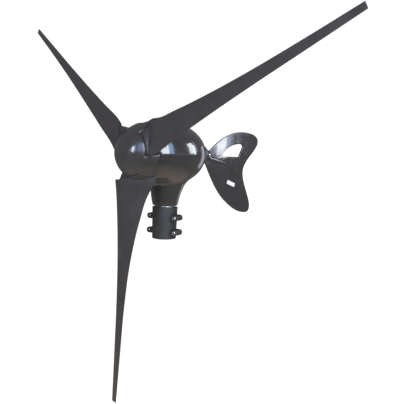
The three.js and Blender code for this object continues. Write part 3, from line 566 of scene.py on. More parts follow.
NODE_MATERIALS = {
    BEARING_STEEL: ("yaw_bearing_lower", "yaw_bearing_upper", "rotor_bearing_"),
    TURNED_STEEL: ("main_shaft", "magnet_carrier", "yaw_bearing_spacer", "yaw_bearing_circlip"),
    BRIGHT_STEEL: (
        "front_plate_screw_", "nose_cone_screw_", "blade_bolt_", "tail_socket_nut",
        "yaw_retaining_nut", "shaft_nut", "shaft_washer",
    ),
    ALUMINIUM: ("hub_plate", "alternator_rear_plate"),
    DARK_STEEL: ("blade_clamp_plate",),
    PLATED: ("magnet_ring",),
    BRASS: ("slip_ring_1", "slip_ring_2", "slip_ring_3"),
    COPPER: ("stator_winding_",),
    LAMINATION: ("stator_core",),
    INSULATOR: ("slip_ring_core", "brush_holder"),
    CARBON: ("brush_1", "brush_2", "brush_3"),
    RUBBER: ("yaw_dust_seal",),
}


def dress_cad_nodes():
    """Puts the procedural materials on the CAD nodes that stay."""
    for node, obj in frame["nodes"].items():
        for material, prefixes in NODE_MATERIALS.items():
            if node.startswith(prefixes):
                obj.data.materials.clear()
                obj.data.materials.append(material)


# ---- nacelle housing


def egg_radius_table():
    """Radius of the egg at places along the shaft, with its run-out to the tail pad."""
    along = np.linspace(-EGG_HALF_LENGTH, EGG_RUN_OUT_Y, 400)
    radius = EGG_RADIUS * np.sqrt(np.clip(1 - (along / EGG_HALF_LENGTH) ** 2, 0, None))
    end = radius[-1]
    bend = bezier(
        (EGG_RUN_OUT_Y, end),
        (EGG_RUN_OUT_Y + 6, end - 6.5),
        (EGG_RUN_OUT_Y + 12, EGG_REAR_RADIUS + 1),
        (EGG_REAR_Y, EGG_REAR_RADIUS),
        np.linspace(0, 1, 60)[1:, None],
    )
    beyond = np.array([(EGG_REAR_Y + 30, EGG_REAR_RADIUS)])
    places = np.vstack([np.column_stack([along, radius]), bend, beyond])
    return places[:, 0], places[:, 1]


EGG_ALONG, EGG_WIDE = egg_radius_table()
EGG_SLOPE = np.gradient(EGG_WIDE, EGG_ALONG)


def egg_distance(x, y, z):
    out = np.hypot(x, z - SHAFT_Z)
    radius = np.interp(y, EGG_ALONG, EGG_WIDE)
    slope = np.interp(y, EGG_ALONG, EGG_SLOPE)
    side = (out - radius) / np.sqrt(1 + slope ** 2)
    return np.maximum(side, y - (EGG_REAR_Y + 20))


def neck_distance(x, y, z):
    rise = np.clip((z - NECK_SWEEP_FROM) / (NECK_TOP - NECK_SWEEP_FROM), 0, 1.6)
    stretch = np.where(y > 0, 1 + NECK_SWEEP * rise ** 1.5, 1)
    start = NECK_BOTTOM + NECK_CHAMFER
    radius = NECK_RADIUS + NECK_FLARE * (1 - np.exp(-np.maximum(z - start, 0) / NECK_FLARE_LENGTH))
    return np.maximum(np.hypot(x, y / stretch) - radius, z - SHAFT_Z)


def housing_distance(points):
    """Egg and neck run into each other through a fillet."""
    x, y, z = points
    egg = egg_distance(x, y, z)
    neck = neck_distance(x, y, z)
    share = np.clip(0.5 + 0.5 * (neck - egg) / NECK_FILLET, 0, 1)
    return neck * (1 - share) + egg * share - NECK_FILLET * share * (1 - share)


def housing_skin():
    """The outer skin, found along rays that leave the yaw axis, lowest ray first."""
    neck_rays = [(z, 0.0) for z in np.linspace(NECK_BOTTOM + NECK_CHAMFER, 108, 14)]
    turn = np.linspace(0, 1, 40)[1:]
    fillet_rays = [(108 + (SHAFT_Z - 108) * t, math.radians(-60) * t) for t in turn]
    lift = np.linspace(0, 1, 80)[1:]
    egg_rays = [(SHAFT_Z, math.radians(-60 + 149.6 * t)) for t in lift]
    rays = neck_rays + fillet_rays + egg_rays
    columns = 176
    v = np.linspace(-1, 1, columns, endpoint=False)
    azimuth = math.pi / 2 + math.pi * v * (0.4 + 0.6 * v * v)
    rings = []
    points = []
    for base, tilt in rays:
        direction = np.array([
            np.cos(azimuth) * math.cos(tilt),
            np.sin(azimuth) * math.cos(tilt),
            np.full(columns, math.sin(tilt)),
        ])
        origin = np.array([[0.0], [0.0], [base]])
        near = np.zeros(columns)
        far = np.full(columns, 190.0)
        for _ in range(34):
            middle = (near + far) / 2
            inside = housing_distance(origin + direction * middle) < 0
            near = np.where(inside, middle, near)
            far = np.where(inside, far, middle)
        rings.append(add_ring(points, (origin + direction * near).T))
    faces = bridge(rings)
    top = len(points)
    points.append((0, 0, SHAFT_Z + EGG_RADIUS))
    last = rings[-1]
    faces.extend((last[k], last[(k + 1) % columns], top) for k in range(columns))
    return points, faces


def draw_in(work, loop, hub, steps):
    """Extrudes a boundary loop inwards: each step is a radius about the hub axis and a place
    along it. The hub axis is "Y" (the shaft) or "Z" (yaw)."""
    for radius, place_at in steps:
        made = bmesh.ops.extrude_edge_only(work, edges=loop)["geom"]
        for vert in (g for g in made if isinstance(g, bmesh.types.BMVert)):
            if hub == "Y":
                spoke = Vector((vert.co.x, 0, vert.co.z - SHAFT_Z * MM)).normalized() * radius * MM
                vert.co = spoke + Vector((0, place_at, SHAFT_Z)) * MM
            else:
                spoke = Vector((vert.co.x, vert.co.y, 0)).normalized() * radius * MM
                vert.co = spoke + Vector((0, 0, place_at)) * MM
        loop = [g for g in made if isinstance(g, bmesh.types.BMEdge)]


def by_place(item):
    corners = [item] if isinstance(item, bmesh.types.BMVert) else item.verts
    return sorted(tuple(v.co) for v in corners)


def settle_order(work):
    """Orders a mesh by place, because bisecting leaves it in an order that varies between runs."""
    for group in (work.verts, work.edges, work.faces):
        for k, item in enumerate(sorted(group, key=by_place)):
            item.index = k
        group.sort()


def nacelle_housing():
    points, faces = housing_skin()
    obj = new_object("housing_casting", points, faces)
    work = bmesh.new()
    work.from_mesh(obj.data)
    for y, normal in ((EGG_FRONT_Y, (0, -1, 0)), (EGG_REAR_Y, (0, 1, 0))):
        geometry = work.verts[:] + work.edges[:] + work.faces[:]
        bmesh.ops.bisect_plane(
            work, geom=geometry, plane_co=(0, y * MM, 0), plane_no=normal, clear_outer=True, dist=1e-7
        )
    edges = {"front": [], "rear": [], "foot": []}
    for edge in work.edges:
        if not edge.is_boundary:
            continue
        middle = (edge.verts[0].co + edge.verts[1].co) / 2
        if abs(middle.y - EGG_FRONT_Y * MM) < 1e-6:
            edges["front"].append(edge)
        elif abs(middle.y - EGG_REAR_Y * MM) < 1e-6:
            edges["rear"].append(edge)
        else:
            edges["foot"].append(edge)
    bmesh.ops.edgeloop_fill(work, edges=edges["rear"])
    # The rim turns in to the stator sleeve, and the foot to the bearing bore.
    rim = EGG_FRONT_Y - 0.6
    draw_in(work, edges["front"], "Y", [(57.0, rim), (SLEEVE_RADIUS, rim), (SLEEVE_RADIUS, -45.0)])
    draw_in(work, edges["foot"], "Z", [(29.8, NECK_BOTTOM), (NECK_BORE, NECK_BOTTOM), (NECK_BORE, 98.0)])
    settle_order(work)
    work.to_mesh(obj.data)
    work.free()
    show(obj, "nacelle", NACELLE_BLACK, "nacelle_paint", "nacelle_housing", crease=40)


# ---- nose cone


def cone_radius(y):
    ratio = abs(y - CONE_CENTRE_Y) / CONE_HALF_LENGTH
    return CONE_RADIUS * max(0.0, 1 - ratio ** CONE_POWER) ** (1 / CONE_POWER)


def cone_slope(y):
    return (cone_radius(y + 0.01) - cone_radius(y - 0.01)) / 0.02


def lip_drop(distance):
    """How far a rounded lip falls away at a distance from its edge."""
    if distance >= LIP_REACH:
        return 0.0
    return LIP_RADIUS - math.sqrt(LIP_RADIUS ** 2 - (LIP_REACH - distance) ** 2)


def lip_steps(count):
    """Distances from an edge, closer together towards it."""
    return [LIP_REACH * (1 - math.cos(math.pi / 2 * i / count)) for i in range(count + 1)]


def notch_reach(y):
    """Half widths of a blade notch on its leading and trailing side."""
    along = min(1.0, max(0.0, (y - NOTCH_FRONT_Y) / (CONE_RIM_Y - NOTCH_FRONT_Y)))
    return NOTCH_LEADING, NOTCH_TRAILING[0] + (NOTCH_TRAILING[1] - NOTCH_TRAILING[0]) * along


def sink(y, angle, drop):
    """A point of the cone's skin, sunk along the normal and turned to an angle."""
    slope = cone_slope(y)
    length = math.hypot(1, slope)
    radius = cone_radius(y) - drop / length
    return (radius * math.cos(angle), y + drop * slope / length, SHAFT_Z + radius * math.sin(angle))


def columns_between(start, end, reach, lip, middle_columns):
    """Angles from one edge to another, each with its distance from the nearer edge."""
    middle = np.linspace(start + LIP_REACH / reach, end - LIP_REACH / reach, middle_columns)
    columns = [(start + d / reach, d) for d in lip]
    columns += [(a, LIP_REACH) for a in middle[1:-1]]
    return columns + [(end - d / reach, d) for d in reversed(lip)]


def nose_cone():
    """Cone skin in rows along the shaft; columns follow the sides of the blade notches."""
    tip = CONE_CENTRE_Y - CONE_HALF_LENGTH
    lip_start = NOTCH_FRONT_Y - LIP_REACH
    front_rows = [tip + (lip_start - tip) * (i / 30) ** 1.9 for i in range(1, 30)]
    lip_rows = [NOTCH_FRONT_Y - d for d in reversed(lip_steps(10))]
    rear_rows = list(np.linspace(NOTCH_FRONT_Y, CONE_RIM_Y, 19)[1:])
    notch_columns = 18
    wall_columns = 24
    lip = lip_steps(8)
    # The outer skin and the inner one meet at the edges of the notches.
    skins = {"outer": [], "inner": []}
    points = [(0, tip, SHAFT_Z), (0, tip + lip_drop(0), SHAFT_Z)]
    open_rows = len(front_rows) + len(lip_rows)
    for row, y in enumerate(front_rows + lip_rows + rear_rows):
        reach = cone_radius(max(y, NOTCH_FRONT_Y))
        leading, trailing = notch_reach(y)
        lead = math.asin(leading / reach)
        trail = math.asin(trailing / reach)
        before_notch = max(0.0, NOTCH_FRONT_Y - y)
        columns = []
        in_notch = []
        for i, angle in enumerate(BLADE_ANGLES):
            following = BLADE_ANGLES[(i + 1) % 3] + (2 * math.pi if i == 2 else 0)
            start, end = angle + trail, following - lead
            across = np.linspace(angle - lead, start, notch_columns, endpoint=False)
            columns += [(a, 0.0) for a in across]
            columns += columns_between(start, end, reach, lip, wall_columns)[:-1]
            in_notch += [True] * notch_columns + [False] * (2 * len(lip) + wall_columns - 3)
        for name, skin in skins.items():
            ring = []
            for angle, beside_notch in columns:
                distance = beside_notch
                if row < open_rows:
                    distance = math.hypot(before_notch, beside_notch)
                drop = lip_drop(0) if name == "inner" else lip_drop(distance)
                ring.append(sink(y, angle, drop))
            skin.append(add_ring(points, ring))
    count = len(skins["outer"][0])
    faces = []
    for centre, rings in enumerate(skins.values()):
        faces += [(centre, rings[0][k], rings[0][(k + 1) % count]) for k in range(count)]
        for row, (near, far) in enumerate(zip(rings, rings[1:])):
            for k in range(count):
                if row + 1 >= open_rows and in_notch[k]:
                    continue
                after = (k + 1) % count
                faces.append((near[k], near[after], far[after], far[k]))
    outer_rim, inner_rim = skins["outer"][-1], skins["inner"][-1]
    for k in range(count):
        if not in_notch[k]:
            after = (k + 1) % count
            faces.append((outer_rim[k], outer_rim[after], inner_rim[after], inner_rim[k]))
    obj = new_object("nose_cone_shell", points, faces)
    show(obj, "rotor", CONE_BLACK, "cone_plastic", "nose_cone", crease=50)


def blade_cuff():
    """The blade's own piece of the cone, filling its notch, for a blade along +X."""
    front = NOTCH_FRONT_Y + CUFF_INSET
    lip = lip_steps(8)
    rows = [front + d for d in lip] + list(np.linspace(front + LIP_REACH, CONE_RIM_Y, 16)[1:])
    middle_columns = 20
    tops = []
    bottoms = []
    points = []
    for y in rows:
        reach = cone_radius(y) - CUFF_SUNK
        leading, trailing = notch_reach(y)
        lead = -math.asin((leading - CUFF_INSET) / reach)
        trail = math.asin((trailing - CUFF_INSET) / reach)
        top = []
        bottom = []
        for angle, beside in columns_between(lead, trail, reach, lip, middle_columns):
            near_corner = math.hypot(max(0, LIP_REACH - beside), max(0, LIP_REACH - (y - front)))
            drop = CUFF_SUNK + lip_drop(max(0.0, LIP_REACH - near_corner))
            top.append(sink(y, angle, drop))
            bottom.append((CUFF_CORE * math.cos(angle), y, SHAFT_Z + CUFF_CORE * math.sin(angle)))
        tops.append(add_ring(points, top))
        bottoms.append(add_ring(points, bottom))
    faces = bridge(tops, closed_ring=False)
    faces += bridge(bottoms, closed_ring=False)
    for end in (0, -1):
        faces += bridge([tops[end], bottoms[end]], closed_ring=False)
        sides = [[row[end] for row in tops], [row[end] for row in bottoms]]
        faces += bridge(sides, closed_ring=False)
    cuff = tidy_normals(new_object("blade_cuff", points, faces), 50)
    return place(cuff, shift(z=-SHAFT_Z))


# ---- blades

# Leading and trailing edge at stations along a blade: [distance from the shaft, towards the
# turning direction, downwind], and the greatest thickness.
BLADE_STATIONS = [
    ((68, 37.5, -21), (46, -60, 19.8), 9),
    ((78, 37.3, -19), (72, -54.8, 13.3), 9),
    ((90, 36.5, -16.8), (90, -47.5, 10.5), 9),
    ((150, 29.6, -11.6), (150, -35.3, 4), 8),
    ((240, 22.1, -5.3), (240, -22.5, -0.2), 6.2),
    ((360, 15.6, 0.6), (360, -13.3, 1.6), 4.4),
    ((480, 11.5, 5.2), (480, -9.5, 6.2), 3.2),
    ((600, 7.3, 9.5), (600, -7.3, 10), 2.2),
]

# The root fairing leads from inside the cone out to the first station.
FAIRING_STATIONS = [
    ((50, 35.5, -3), (36, -60, 10), 14),
    ((66, 29, -15.5), (46.2, -60, 19.6), 10),
]


def station_curve(values, knots, t):
    """Smooth curve through the stations, with the slopes of a Catmull-Rom spline."""
    values = np.array(values, float)
    slopes = np.gradient(values, knots, axis=0)
    slopes[0] = (values[1] - values[0]) / (knots[1] - knots[0])
    i = min(max(int(np.searchsorted(knots, t, "right")) - 1, 0), len(knots) - 2)
    width = knots[i + 1] - knots[i]
    s = (t - knots[i]) / width
    return (
        (2 * s ** 3 - 3 * s ** 2 + 1) * values[i]
        + (s ** 3 - 2 * s ** 2 + s) * width * slopes[i]
        + (3 * s ** 2 - 2 * s ** 3) * values[i + 1]
        + (s ** 3 - s ** 2) * width * slopes[i + 1]
    )


def aerofoil(count):
    """Closed outline from the trailing edge over the downwind face and back upwind."""
    outline = []
    for side in (1, -1):
        for i in range(count):
            turn = math.pi * i / count
            x = (1 + math.cos(turn)) / 2 if side == 1 else (1 - math.cos(turn)) / 2
            series = 0.2969 * math.sqrt(x) - 0.126 * x - 0.3516 * x ** 2
            half = 5 * (series + 0.2843 * x ** 3 - 0.1036 * x ** 4) + 0.06 * x
            outline.append((x, 0.88 * x * (1 - x) + side * half))
    return outline


def section_points(lead, trail, thick, section, inset=0.0):
    """The section's outline between a leading and a trailing edge, for a blade along +X."""
    chord = trail - lead
    normal = np.array([0, chord[2], -chord[1]])
    normal /= np.linalg.norm(normal)
    points = []
    for x, over in section:
        x = inset + x * (1 - 2 * inset)
        place_on = lead + chord * x + normal * over * thick
        points.append((place_on[0], ROTOR_Y + place_on[2], -place_on[1]))
    return points


def end_faces(rings):
    """Faces that close the first and the last ring of a loft of aerofoil sections."""
    faces = []
    for ring in (rings[0], rings[-1]):
        faces.append((ring[0], ring[1], ring[-1]))
        for k in range(1, len(ring) // 2):
            quad = (ring[k], ring[k + 1], ring[-k - 1], ring[-k])
            faces.append(tuple(dict.fromkeys(quad)))
    return faces


def blade_skin():
    knots = np.array([(lead[0] + trail[0]) / 2 for lead, trail, _ in BLADE_STATIONS])
    section = aerofoil(22)
    along = list(np.linspace(knots[0], 240, 40)) + list(np.linspace(240, BLADE_TIP, 44)[1:])
    stations = [(min(t, BLADE_TIP - BLADE_TIP_RADIUS), 1.0) for t in along]
    for a in np.linspace(0, math.pi / 2, 5)[1:]:
        stations.append((BLADE_TIP - BLADE_TIP_RADIUS * (1 - math.sin(a)), math.cos(a)))
    points = []
    rings = []
    (lead_in, trail_in, thick_in), (lead_out, trail_out, thick_out) = FAIRING_STATIONS
    for t in np.linspace(0, 1, 10):
        lead = (1 - t) * np.array(lead_in) + t * np.array(lead_out)
        trail = (1 - t) * np.array(trail_in) + t * np.array(trail_out)
        thick = (1 - t) * thick_in + t * thick_out
        rings.append(add_ring(points, section_points(lead, trail, thick, section)))
    for t, fullness in stations:
        lead = station_curve([s[0] for s in BLADE_STATIONS], knots, t)
        trail = station_curve([s[1] for s in BLADE_STATIONS], knots, t)
        thick = station_curve([[s[2]] for s in BLADE_STATIONS], knots, t)[0] * max(fullness, 0.05)
        inset = BLADE_TIP_RADIUS * (1 - fullness) / np.linalg.norm(trail - lead)
        rings.append(add_ring(points, section_points(lead, trail, thick, section, inset)))
    return new_object("blade_skin", points, bridge(rings) + end_faces(rings))


def block(name, low, high, edge):
    """A box with rounded edges."""
    corners = list(itertools.product(*zip(low, high)))
    sides = [(0, 1, 3, 2), (4, 6, 7, 5), (0, 4, 5, 1), (2, 3, 7, 6), (0, 2, 6, 4), (1, 5, 7, 3)]
    return round_edges(tidy_normals(new_object(name, corners, sides)), edge)


def blades():
    skin = tidy_normals(blade_skin())
    pad = block("root_pad", ROOT_PAD_LOW, ROOT_PAD_HIGH, 1.0)
    blade = merge("blade_shape", skin, pad, blade_cuff())
    for i, angle in enumerate(BLADE_ANGLES):
        copy = add_object(f"blade_moulding_{i + 1}", blade.data.copy())
        place(copy, shift(z=SHAFT_Z) @ Matrix.Rotation(-angle, 4, "Y"))
        show(copy, "rotor", BLADE_CHARCOAL, "blade_composite", f"blade_{i + 1}")
    bpy.data.objects.remove(blade)


# ---- tail


def upright(obj):
    """Stands an XY drawing up in the plane x = 0: its x runs along the shaft, its y up."""
    turn = Matrix(((0, 0, 1, 0), (1, 0, 0, 0), (0, 1, 0, 0), (0, 0, 0, 1)))
    return place(obj, shift(z=SHAFT_Z) @ turn)


def spine(side):
    """Raised rib on one face of the vane: crest near its top edge, dying out at the end."""
    steps = 40
    across = 10
    root = SOCKET_TIP_Y - 6
    points = []
    rings = []
    for i in range(steps + 1):
        t = i / steps
        top = bezier((root, -1), (178, -10), (243, -10), (285, -60), t)
        low = bezier((root, -14), (182, -27), (244, -27), (285, -60), t)
        height = (SPINE_HALF - VANE_HALF) * min(1.0, 9 * (1 - t)) * (1 - 0.2 * t)
        ring = []
        for j in range(across + 1):
            u = j / across
            crown = math.sin(math.pi * u ** 0.75)
            y, z = top + (low - top) * u
            ring.append((side * (VANE_HALF - 0.05 + height * crown), y, SHAFT_Z + z))
        rings.append(add_ring(points, ring))
    return new_object("spine", points, bridge(rings, closed_ring=False))


def tail():
    outline = path_loop(
        (124.5, 9),
        (150, 9),
        (189, 42, 235, 67, 289, 68),
        (316, 68, 362.8, 65, 360.4, 41),
        (357, 15, 295.5, -12, 294, -45),
        (292, -74, 318, -103, 328, -137),
        (331, -150, 327, -162.5, 310, -162.5),
        (277, -162, 247, -144, 220, -125),
        (185, -100, 162, -63, 140, -27),
        (131, -14),
        (124.5, -14),
    )
    window = path_loop(
        (204.5, -3),
        (213, 22, 249, 30.5, 272, 33),
        (279, 33.3, 291, 34, 291, 26.5),
        (291, 20.5, 284, 14, 275, -3.3),
    )
    vane = upright(plate("vane", [outline, window], VANE_HALF, 0.8))
    ribs = [tidy_normals(spine(side), 60) for side in (1, -1)]
    vane = merge("tail_vane_moulding", vane, *ribs)
    show(vane, "nacelle", VANE_BLACK, "vane_plastic", "tail_vane", crease=20, flat_faces=True)

    outline = smooth_corners([
        (7, 98), (7, 116.3), (26, 116.3), (26, 121), (24, 122), (20, 128), (15.5, 137), (12.5, 145),
        (11, SOCKET_TIP_Y), (0.01, SOCKET_TIP_Y),
    ], 2.2)
    socket = turned("tail_socket_cone", [(0, 98)] + outline + [(0, SOCKET_TIP_Y)], 96, "Y")
    place(socket, shift(z=SHAFT_Z))
    slot = block("slot", (-2.8, 123.5, 150), (2.8, 165, 260), 0.01)
    seats = []
    for y in TAIL_SCREWS_Y:
        seat = turned("seat", [(0, 0), (3.8, 0), (3.8, 30), (0, 30)], 32)
        place(seat, shift(11.5, y, SHAFT_Z - 1) @ Matrix.Rotation(math.pi / 2, 4, "Y"))
        seats.append(tidy_normals(seat))
    cut(tidy_normals(socket), slot, *seats)
    show(socket, "nacelle", SOCKET_BLACK, "nacelle_paint", "tail_socket", crease=28)

    for i, y in enumerate(TAIL_SCREWS_Y):
        screw = socket_screw(f"tail_screw_head_{i + 1}", 2, 3.5, 3, 1.8, 1.6, 22)
        place(screw, shift(11.8, y, SHAFT_Z - 1) @ Matrix.Rotation(math.pi / 2, 4, "Z"))
        show(screw, "nacelle", BRIGHT_STEEL, "steel", f"tail_screw_{i + 1}")

    a, b = LABEL_HALF_LENGTH, LABEL_HALF_HEIGHT
    c, d = a - 1.6, b - 1.6
    loop = path_loop(
        (-a, -d), (-a, -b, -a, -b, -c, -b), (c, -b), (a, -b, a, -b, a, -d),
        (a, d), (a, b, a, b, c, b), (-c, b), (-a, b, -a, b, -a, d),
    )
    for name, side in (("right", 1), ("left", -1)):
        label = plate(f"label_{name}", [loop], 0.2, 0.05)
        place(label, shift(LABEL_Y, -LABEL_DROP) @ Matrix.Rotation(LABEL_TILT, 4, "Z"))
        place(upright(label), shift(side * (VANE_HALF + 0.5)))
        show(label, "nacelle", LABEL, "label_white", f"tail_label_{name}", crease=20, flat_faces=True)


# ---- clamp, spindle, screws


def socket_screw(name, radius, head_radius, head_length, hex_flat, hex_depth, length):
    """Socket-head screw along +Y with its head's underside at y = 0: hexagon socket, knurled
    head, and a shank with thread ridges."""
    top = -head_length
    outline = [
        (0, top + hex_depth),
        (hex_flat, top + hex_depth),
        (hex_flat, top),
        (head_radius - 0.6, top),
        (head_radius - 0.2, top + 0.15),
        (head_radius, top + 0.6),
        (head_radius, -0.4),
        (head_radius - 0.3, 0),
        (radius, 0),
    ]
    pitch = radius / 3
    ridge = 0.09 * radius
    y = 1.0
    while y < length - 1.5 * pitch:
        outline += [(radius, y), (radius - ridge, y + pitch / 2)]
        y += pitch
    outline += [(radius, length - radius * 0.3), (radius * 0.7, length), (0, length)]

    def ring_radius(row, r, angle):
        if row in (1, 2):
            return r / math.cos((angle + math.pi / 6) % (math.pi / 3) - math.pi / 6)
        if row in (5, 6):
            return r - 0.035 * head_radius * (0.5 + 0.5 * math.cos(36 * angle))
        return r

    return turned(name, outline, 144, "Y", ring_radius)


def clamp_half(name):
    """Half shell on the side y < 0, with its four lugs."""
    steps = 72
    inner = CLAMP_BORE
    wall = smooth_corners([
        (inner, 38),
        (inner, 0),
        (CLAMP_BOTTOM_RADIUS, 0),
        (CLAMP_TOP_RADIUS, CLAMP_HEIGHT),
        (inner, CLAMP_HEIGHT),
        (inner, 38.01),
    ], 1.0)
    points = []
    rings = []
    for i in range(steps + 1):
        ring = []
        for r, z in wall[:-1]:
            reach = math.acos(CLAMP_SPLIT / r)
            angle = -math.pi / 2 + reach * (2 * i / steps - 1)
            ring.append((r * math.cos(angle), r * math.sin(angle), z))
        rings.append(add_ring(points, ring))
    faces = bridge(rings)
    faces += [tuple(rings[0]), tuple(reversed(rings[-1]))]
    pieces = [tidy_normals(new_object("shell", points, faces))]
    for side in (1, -1):
        for z in LUG_HEIGHTS:
            k = LUG_RADIUS * ROUND
            x = side * LUG_REACH
            root = side * (CLAMP_BORE + 1)
            loop = path_loop(
                (root, z - LUG_RADIUS),
                (x, z - LUG_RADIUS),
                (x + side * k, z - LUG_RADIUS, x + side * LUG_RADIUS, z - k, x + side * LUG_RADIUS, z),
                (x + side * LUG_RADIUS, z + k, x + side * k, z + LUG_RADIUS, x, z + LUG_RADIUS),
                (root, z + LUG_RADIUS),
            )
            depth = (LUG_FACE - CLAMP_SPLIT) / 2
            lug = plate("lug", [loop, circle_loop(x, z, 3.3)], depth, 1.0, 12)
            place(lug, shift(y=-CLAMP_SPLIT - depth) @ Matrix.Rotation(math.pi / 2, 4, "X"))
            pieces.append(tidy_normals(lug, 20))
    return merge(name, *pieces)


def mast_clamp():
    turn = Matrix.Rotation(CLAMP_TURN, 4, "Z")
    for name, angle in (("front", 0), ("rear", math.pi)):
        half = clamp_half(f"clamp_casting_{name}")
        place(half, turn @ Matrix.Rotation(angle, 4, "Z"))
        node = f"clamp_half_{name}"
        show(half, "mast_clamp", CLAMP_BLACK, "clamp_paint", node, crease=24, flat_faces=True)
    for side, angle in (("right", 0), ("left", math.pi)):
        for level, z in zip(("lower", "upper"), LUG_HEIGHTS):
            screw = socket_screw(f"clamp_bolt_{side}_{level}", 3, 5, 6, 2.6, 3, 2 * LUG_FACE)
            place(screw, turn @ Matrix.Rotation(angle, 4, "Z") @ shift(LUG_REACH, -LUG_FACE - 0.3, z))
            show(screw, "mast_clamp", BRIGHT_STEEL, "steel", f"clamp_screw_{side}_{level}")

    outline = smooth_corners([
        (6, 43), (24, 43), (24, 76.3), (25.5, 76.3), (25.5, 79.3), (16, 79.3),
        (16, 85.7), (12.5, 85.7), (12.5, 127), (6, 127), (6, 43.01),
    ], 0.5)
    spindle = turned("spindle_turning", outline[:-1], 96)
    show(spindle, "mast_clamp", TURNED_STEEL, "shaft_steel", "yaw_spindle")


def front_plate():
    outline = smooth_corners([
        (9.5, -70), (9.5, -79.3), (56, -79.3), (57.5, -77.8), (57.5, -75.3), (52, -75.3), (52, -71.3),
        (48.3, -71.3), (26.5, -73.3), (21.5, -55), (17.5, -55), (17.5, -66.3), (9.5, -66.3),
        (9.5, -69.9),
    ], 0.5)
    disc = turned("front_plate_turning", outline[:-1], 128, "Y")
    place(disc, shift(z=SHAFT_Z))
    show(disc, "nacelle", CLAMP_BLACK, "front_plate_paint", "alternator_front_plate")


# ---- stage, light and camera


def glow_ramp(tree, value, stops):
    """A colour ramp with the given stops, fed by a value."""
    ramp = tree.nodes.new("ShaderNodeValToRGB")
    tree.links.new(value, ramp.inputs["Fac"])
    while len(ramp.color_ramp.elements) < len(stops):
        ramp.color_ramp.elements.new(0.5)
    for element, (position, colour) in zip(ramp.color_ramp.elements, stops):
        element.position = position
        element.color = (*colour, 1)
    return ramp.outputs["Color"]


def show_and_mirror(tree, shown, mirrored, surface):
    """Feeds a surface with one shader for the eye and another for mirror rays."""
    path = tree.nodes.new("ShaderNodeLightPath")
    mix = tree.nodes.new("ShaderNodeMixShader")
    tree.links.new(path.outputs["Is Glossy Ray"], mix.inputs[0])
    tree.links.new(shown.outputs[0], mix.inputs[1])
    tree.links.new(mirrored.outputs[0], mix.inputs[2])
    tree.links.new(mix.outputs[0], surface)


def floor_material():
    """Pale floor that reads white, with a dimmer warm glow where the object mirrors it."""
    material = bpy.data.materials.new("pale floor")
    material.use_nodes = True
    tree = material.node_tree
    shader = tree.nodes["Principled BSDF"]
    preset(shader, Base_Color=(0.90, 0.88, 0.86, 1), Roughness=0.9, Specular_IOR_Level=0.1)
    preset(shader, Emission_Color=(1, 1, 1, 1), Emission_Strength=0.2)
    where = tree.nodes.new("ShaderNodeTexCoord")
    across = tree.nodes.new("ShaderNodeVectorMath")
    across.operation = "LENGTH"
    tree.links.new(where.outputs["Object"], across.inputs[0])
    glow = tree.nodes.new("ShaderNodeEmission")
    tree.links.new(glow_ramp(tree, across.outputs["Value"], FLOOR_GLOW), glow.inputs["Color"])
    show_and_mirror(tree, shader, glow, tree.nodes["Material Output"].inputs["Surface"])
    return material


def stage():
    under = FLOOR_Z - FLOOR_THICKNESS
    outline = [(0, FLOOR_Z), (FLOOR_RADIUS, FLOOR_Z), (FLOOR_RADIUS, under), (0, under)]
    floor = turned("studio_floor", outline, 128)
    tidy_normals(floor)
    floor.data.materials.append(floor_material())


def panel(name, centre, facing, width, height, radiance, colour):
    """A rectangular softbox that shows only in reflections, with the brightness it has there."""
    light = bpy.data.lights.new(name, "AREA")
    light.shape = "RECTANGLE"
    light.size = width * MM
    light.size_y = height * MM
    area = width * height * MM * MM
    light.energy = radiance * area * math.pi
    light.color = colour
    obj = add_object(name, light)
    obj.location = Vector(centre) * MM
    aim = Vector(facing) * MM - obj.location
    obj.rotation_euler = aim.to_track_quat("-Z", "Y").to_euler()
    obj.visible_camera = False
    obj.visible_diffuse = False


def far_panel(name, azimuths, heights, distance, radiance, colour):
    """An upright softbox seen from the shaft between two azimuths and two elevations."""
    left, right = (math.radians(a) for a in azimuths)
    low, high = (math.radians(e) for e in heights)
    middle = (left + right) / 2
    width = 2 * distance * math.tan(abs(right - left) / 2)
    bottom, top = distance * math.tan(low), distance * math.tan(high)
    z = SHAFT_Z + (bottom + top) / 2
    centre = (distance * math.cos(middle), distance * math.sin(middle), z)
    panel(name, centre, (0, 0, z), width, top - bottom, radiance, colour)


def side_window(name, near, far, low, high, radiance, colour):
    """An upright softbox in the side window's plane, between two distances along it and two
    heights."""
    middle = SIDE_WINDOW_START + SIDE_WINDOW_ALONG * (near + far) / 2
    z = (low + high) / 2
    outwards = np.array([-SIDE_WINDOW_ALONG[1], SIDE_WINDOW_ALONG[0]])
    facing = middle - outwards * 1000
    panel(name, (*middle, z), (*facing, z), far - near, high - low, radiance, colour)


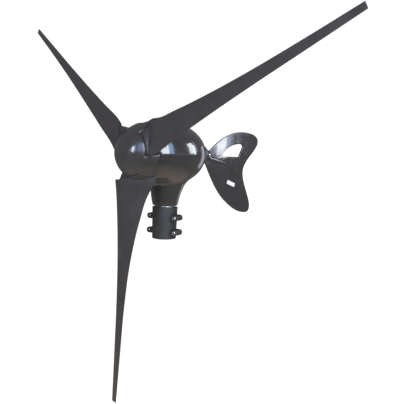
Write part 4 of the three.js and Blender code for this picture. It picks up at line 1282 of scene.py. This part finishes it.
def lights():
    far_panel("window_white", (-20, -1.6), (0.5, 42), FAR, 13, WHITE)
    far_panel("window_hidden", (-36, -20), (6, 42), FAR, 13, PALE)
    far_panel("window_blue", (-1.6, 9.5), (0.5, 42), FAR, 6.5, SKY)
    far_panel("horizon_line", (-20, 46), (-0.5, 0.5), FAR, 2.2, PALE)
    far_panel("rear_wall", (84, 102), (-20, 12), FAR, 1.15, LAVENDER)
    # A tall window close to the tail, in strips: its edge ends the tail's reflection.
    side_window("side_window_edge", -2, 17, 222, 540, 4.0, DEEP_SKY)
    side_window("side_window_narrow", 17, 58, 200, 540, 12, WHITE)
    side_window("side_window_wide", 58, 270, 242, 650, 9, WHITE)
    side_window("side_window_low", 58, 260, 206, 242, 2.4, DEEP_SKY)
    side_window("side_window_beyond", -80, -2, 305, 640, 1.6, LAVENDER)
    far_panel("cone_highlight", (-75.5, -68.5), (4, 26), FARTHER, 34, PALE)
    far_panel("cone_blue", (-58, -40), (8, 42), FARTHER, 9, DEEP_SKY)


def world():
    """White to the eye and as general light; a dim room in reflections."""
    made = bpy.data.worlds.new("studio")
    scene.world = made
    made.use_nodes = True
    tree = made.node_tree
    tree.nodes.clear()
    output = tree.nodes.new("ShaderNodeOutputWorld")
    where = tree.nodes.new("ShaderNodeTexCoord")
    split = tree.nodes.new("ShaderNodeSeparateXYZ")
    tree.links.new(where.outputs["Generated"], split.inputs[0])
    spread = preset(tree.nodes.new("ShaderNodeMapRange"), From_Min=-1, From_Max=1)
    tree.links.new(split.outputs["Z"], spread.inputs["Value"])
    bright = tree.nodes.new("ShaderNodeBackground")
    preset(bright, Color=(1, 1, 1, 1), Strength=1.1)
    room = tree.nodes.new("ShaderNodeBackground")
    tree.links.new(glow_ramp(tree, spread.outputs["Result"], ROOM_GLOW), room.inputs["Color"])
    show_and_mirror(tree, bright, room, output.inputs["Surface"])


def camera():
    data = bpy.data.cameras.new("camera")
    data.lens = CAMERA_LENS
    data.sensor_width = CAMERA_SENSOR
    data.shift_x, data.shift_y = CAMERA_SHIFT
    obj = add_object("camera", data)
    aim = Matrix.Rotation(CAMERA_AZIMUTH, 4, "Z")
    aim = aim @ Matrix.Rotation(math.pi / 2 + CAMERA_PITCH, 4, "X")
    obj.matrix_world = Matrix.Translation(CAMERA_METRES) @ aim @ Matrix.Rotation(CAMERA_ROLL, 4, "Z")
    scene.camera = obj


# ---- build

scene.view_settings.view_transform = "Standard"
camera()
world()
lights()
stage()
dress_cad_nodes()
nacelle_housing()
nose_cone()
blades()
tail()
mast_clamp()
front_plate()
